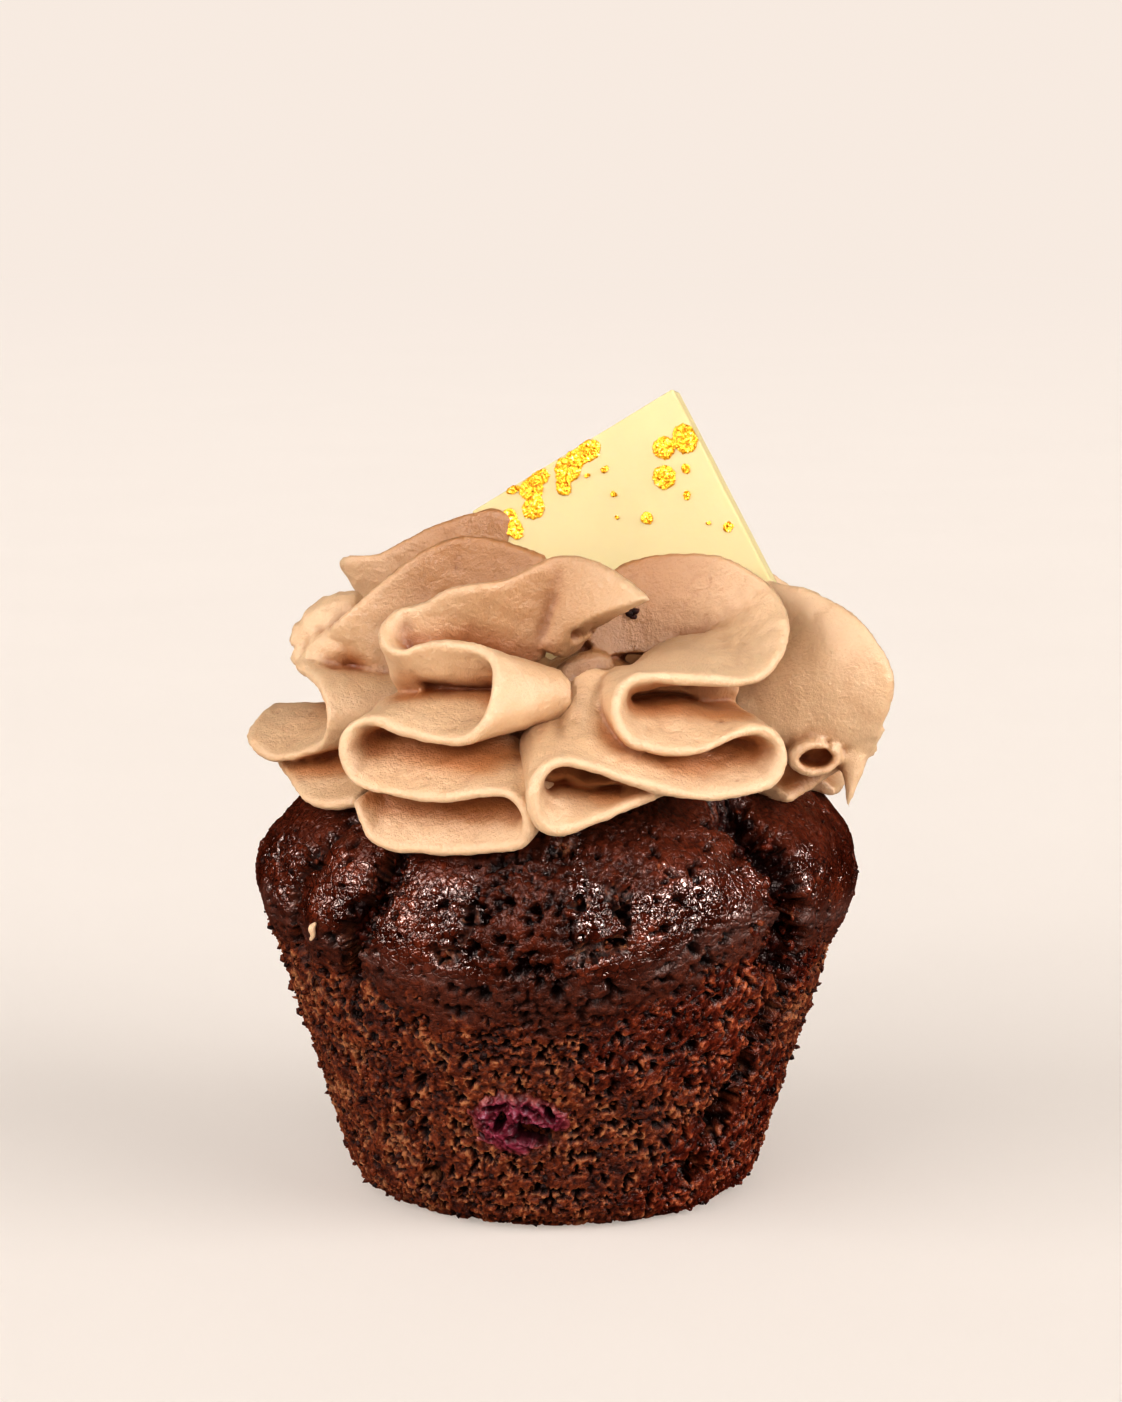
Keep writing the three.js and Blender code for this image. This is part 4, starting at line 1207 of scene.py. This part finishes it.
def baked_colour(look, fine, patches, creases):
    """Dark leathery crust with painted shade in its creases and redder patches, brown and dull on the skirt.
    """
    # painted shade: darker along the edges of the crease cells
    crease_shade = look.ramp(creases, [(0.0, (0.3, 0.2, 0.2)), (0.1, WHITE)])
    top = look.mix(1.0, look.ramp(patches, BAKED_TOP), crease_shade, "MULTIPLY")
    rubbed = look.math("MULTIPLY", look.value("moist"), 0.75)
    top = look.mix(rubbed, top, look.ramp(fine, BAKED_RUBBED))
    baked = look.mix(look.value("skirt"), top, look.ramp(fine, BAKED_SKIRT))
    # painted shade: darkened towards near black where the crust is hollow
    return look.mix(look.value("hollow"), baked, PORE_SHADE)


def sponge_material(name, specular, coarse, octaves):
    """Torn crumb and baked crust, told apart by the mesh's own values."""
    material, look = new_material(name)
    crust = look.value("crust")
    grain = look.noise(1100, 5)
    patches = look.noise(170, 4)
    creases = look.cell_edges(1000, 0.001)
    small_creases = look.cell_edges(2200, 0.0005)
    gloss = look.math("MULTIPLY_ADD", patches, 0.42, -0.04)
    dull = look.math("MULTIPLY_ADD", look.value("skirt"), 0.4, gloss)
    damp = look.math("MULTIPLY_ADD", look.value("moist"), -0.3, 0.6)
    normal = look.bump(look.math("MINIMUM", creases, 0.13), 0.9, 0.6)
    normal = look.bump(look.math("MINIMUM", small_creases, 0.16), 0.25, 0.5, Normal=normal)
    normal = look.bump(look.noise(1100, octaves), 0.4 * coarse, 0.8, Normal=normal)
    baked = baked_colour(look, grain, patches, creases)
    look.shade(
        Base_Color=look.mix(crust, crumb_colour(look, grain, patches), baked),
        Roughness=look.mix_numbers(crust, damp, dull),
        Specular_IOR_Level=specular,
        Specular_Tint=(1, 0.87, 0.82),
        Normal=look.bump(look.noise(2600, octaves - 1), 0.1 * coarse, 0.6, Normal=normal),
    )
    return material


FLESH = [
    (0.2, (0.035, 0.0015, 0.004)),
    (0.55, (0.115, 0.0065, 0.018)),
    (0.85, (0.28, 0.038, 0.075)),
    (1.0, (0.42, 0.2, 0.26)),
]
STAINED_CRUMB = [(0.2, (0.03, 0.002, 0.002)), (0.6, (0.15, 0.025, 0.016)), (1.0, (0.42, 0.14, 0.09))]


def fruit_material():
    """Dark red flesh with paler fibres and a painted highlight where it stands out, stained crumb at its rim,
    and painted shade, near black, in its holes.
    """
    material, look = new_material("berry_flesh")
    fibres = look.noise(1300, 4)
    # painted highlight: the flesh is paler where it stands out
    tone = look.math("MULTIPLY_ADD", fibres, 0.8, look.value("raised"))
    tone = look.math("SUBTRACT", tone, 0.4)
    stained = look.mix(look.value("rim"), look.ramp(tone, FLESH), look.ramp(tone, STAINED_CRUMB))
    look.shade(
        # painted shade: near black in the holes
        Base_Color=look.mix(look.value("hollow"), stained, (0.012, 0.0008, 0.0012)),
        Roughness=0.42,
        Specular_IOR_Level=0.15,
        Normal=look.bump(fibres, 0.35),
    )
    return material


BUTTERCREAM = [(0.5, (0.72, 0.505, 0.32)), (0.75, (0.75, 0.54, 0.352)), (1.0, (0.77, 0.57, 0.382))]


def frosting_material():
    """Light chocolate buttercream with a fine grain and wet patches, and painted shade, richer and darker, in
    its middle, folds and creases.
    """
    material, look = new_material("chocolate_buttercream")
    cloud = look.noise(90, 3)
    grain = look.noise(2400, 5, Roughness=0.65)
    streaks = look.noise(700, 4, Distortion=0.8)
    colour = look.ramp(look.math("MULTIPLY_ADD", grain, 0.5, cloud), BUTTERCREAM)
    # painted shade: darker and richer towards the middle of the frosting
    middle = look.mix(look.value("outer"), (0.62, 0.44, 0.28), WHITE)
    # painted shade deep in the folds
    fold_shade = look.mix(look.value("deep"), WHITE, (0.68, 0.43, 0.25))
    # painted shade in the creases
    crease_shade = look.ramp(look.value("shape"), [(0.1, (0.55, 0.34, 0.2)), (0.48, WHITE)])
    for tint in (middle, fold_shade, crease_shade):
        colour = look.mix(1.0, colour, tint, "MULTIPLY")
    look.shade(
        Base_Color=colour,
        Roughness=look.ramp(cloud, [(0.4, (0.3, 0.3, 0.3)), (0.62, (0.52, 0.52, 0.52))]),
        Specular_IOR_Level=0.42,
        Subsurface_Weight=0.12,
        Subsurface_Radius=(1.0, 0.5, 0.3),
        Subsurface_Scale=0.9 * MM,
        Normal=look.bump(streaks, 0.5, 0.3, Normal=look.bump(grain, 0.26, 0.8)),
    )
    return material


# the leaf's own orange and yellow, whose palest stop is a painted glint scattered by the grain
GOLD_TONES = [
    (0.34, (0.55, 0.22, 0.004)),
    (0.44, (0.84, 0.44, 0.012)),
    (0.58, (0.9, 0.54, 0.03)),
    (0.68, (1.0, 0.76, 0.32)),
]


def gold_material():
    """Crumpled gold leaf: bright yellow facets with deep orange between them, and pale painted glints."""
    material, look = new_material("gold_leaf")
    grain = look.noise(2400, 3)
    look.shade(
        Base_Color=look.ramp(grain, GOLD_TONES),
        Metallic=0.35,
        Roughness=0.32,
        Normal=look.bump(grain, 0.3),
    )
    return material


def white_chocolate_material():
    """Pale, faintly clouded and satin."""
    material, look = new_material("white_chocolate")
    look.shade(
        Base_Color=look.ramp(look.noise(70, 4), [(0.3, (0.7, 0.605, 0.355)), (0.7, (0.745, 0.65, 0.385))]),
        Roughness=0.5,
        Specular_IOR_Level=0.1,
        Subsurface_Weight=0.2,
        Subsurface_Radius=(1.0, 0.8, 0.4),
        Subsurface_Scale=1.5 * MM,
        Normal=look.bump(look.noise(900, 3), 0.05, 0.5),
    )
    return material


def floor_material():
    """Pale and matte, glowing a little near by and evenly far away, so that the backdrop has no horizon."""
    material, look = new_material("pale_floor")
    distance = look.add("VectorMath", {0: look.place()}, operation="LENGTH").outputs["Value"]
    far = look.step(distance, *FLOOR_FADE, 0.0, 1.0)
    near = look.ramp(look.noise(14, 3), [(0.3, FLOOR_NEAR), (0.7, tuple(1.02 * c for c in FLOOR_NEAR))])
    look.shade(
        Base_Color=look.mix(far, near, (0.0, 0.0, 0.0)),
        Emission_Color=look.mix(far, FLOOR_GLOW, BACKDROP_GLOW),
        Emission_Strength=1.0,
        Roughness=0.8,
        Specular_IOR_Level=0.0,
    )
    return material


# ---- stage, light and camera ----

VIEW_TARGET = Vector((0.75, 0, 61.3)) * MM
VIEW_DISTANCE = 486.8 * MM
VIEW_PITCH = math.radians(9.5)
VIEW_GAMMA = 0.75  # deepens the dark tones, as the studio picture does
LENS = 100
SENSOR = 36
WORLD_STRENGTH = 0.58
WORLD_FRONT = 0.35  # share of it towards the camera
WORLD_OVERHEAD = 0.5  # share of it overhead
FLOOR_NEAR = (0.49, 0.47, 0.455)
FLOOR_GLOW = (0.43, 0.388, 0.352)  # colour of the floor's own faint glow
BACKDROP_GLOW = (0.95, 0.868, 0.806)
FLOOR_FADE = (0.3, 2.0)  # metres over which the lit floor gives way to the glowing backdrop
FLOOR_RADII = [0.3, 0.6, 1, 1.5, 2, 2.5, 3, 3.5, 4, 4.5, 5, 5.5, 6]  # metres
FLOOR_SIDES = 48
FLOOR_LEVEL_RADIUS = 2.0
FLOOR_SWEEP = 0.1  # metres it has risen 1 m beyond its level part


def floor_rise(radius):
    """Height of the floor in metres: level, then sweeping up into a backdrop on every side."""
    return FLOOR_SWEEP * max(0, radius - FLOOR_LEVEL_RADIUS) ** 2


def build_floor(material):
    """A wide floor whose edge sweeps up into the backdrop on every side."""
    radius = np.array(FLOOR_RADII)[:, None]
    turn = full_turn(FLOOR_SIDES)
    rise = np.array([floor_rise(metres) for metres in FLOOR_RADII])[:, None] + 0 * turn
    points = np.stack([radius * np.sin(turn), -radius * np.cos(turn), rise], axis=2).reshape(-1, 3) / MM
    faces = [tuple(reversed(face)) for face in grid_faces(len(FLOOR_RADII), FLOOR_SIDES, True)]
    faces.append(tuple(range(FLOOR_SIDES)))
    floor = make_piece("floor", points, faces, material)
    floor.visible_glossy = False


def add_sun(name, azimuth, elevation, strength, angle, colour, gloss):
    """Soft distant light for matte or for glossy reflection; azimuth 0 is the camera's side."""
    light = bpy.data.lights.new(name, "SUN")
    light.energy = strength
    light.angle = math.radians(angle)
    light.color = colour
    lamp = add_object(name, light)
    rise = math.radians(elevation)
    source = Vector(compass(azimuth)[0] * math.cos(rise) + UP * math.sin(rise))
    lamp.rotation_euler = source.to_track_quat("Z", "Y").to_euler()
    lamp.visible_diffuse = not gloss
    lamp.visible_glossy = gloss


def build_world():
    """Even light from all round, dimmer overhead and from the camera's side, where a studio is dark."""
    world = bpy.data.worlds.new("studio")
    look = Look(world)
    direction = look.add("TexCoord", {}).outputs["Generated"]
    parts = look.add("SeparateXYZ", {0: direction}).outputs
    front = look.step(parts["Y"], -0.75, 0.1, WORLD_FRONT, 1.0)
    over = look.step(parts["Z"], 0.2, 0.9, 1.0, WORLD_OVERHEAD)
    level = look.math("MULTIPLY", look.math("MULTIPLY", front, over), WORLD_STRENGTH)
    look.feed(look.tree.nodes["Background"], {"Color": (1, 0.93, 0.87), "Strength": level})
    world.cycles_visibility.glossy = False
    bpy.context.scene.world = world


def build_light():
    """Wide softboxes at the sides, a weak one in front, and their bright middles seen in glossy crust."""
    warm = (1, 0.975, 0.95)
    white = (1, 0.985, 0.97)
    add_sun("right_softbox", 62, 15, 4.35, 60, warm, False)
    add_sun("left_softbox", -62, 15, 3.4, 60, warm, False)
    add_sun("front_softbox", -12, 16, 2.2, 60, warm, False)
    add_sun("right_gloss", 56, 26, 10.0, 20, white, True)
    add_sun("left_gloss", -54, 26, 9.0, 32, white, True)
    build_world()
    view = bpy.context.scene.view_settings
    view.view_transform = "Standard"
    view.gamma = VIEW_GAMMA


def build_camera():
    data = bpy.data.cameras.new("camera")
    data.lens = LENS
    data.sensor_width = SENSOR
    data.sensor_fit = "AUTO"
    camera = add_object("camera", data)
    away = Vector((0, -math.cos(VIEW_PITCH), math.sin(VIEW_PITCH)))
    camera.location = VIEW_TARGET + away * VIEW_DISTANCE
    camera.rotation_euler = (VIEW_TARGET - camera.location).to_track_quat("-Z", "Y").to_euler()
    bpy.context.scene.camera = camera


# ---- the muffin ----

build_camera()
build_light()
build_floor(floor_material())
crumb = sponge_material("chocolate_crumb", 0.2, 1.0, 5)
build_sponge(crumb, sponge_material("chocolate_crust", 0.55, 0.15, 2))
build_fruit(fruit_material())
buttercream = frosting_material()
for node, ruffle in RUFFLES.items():
    build_ruffle(node, ruffle, buttercream)
build_plate(white_chocolate_material())
build_gold(gold_material())
build_bits(crumb, buttercream)

bpy.context.view_layer.update()
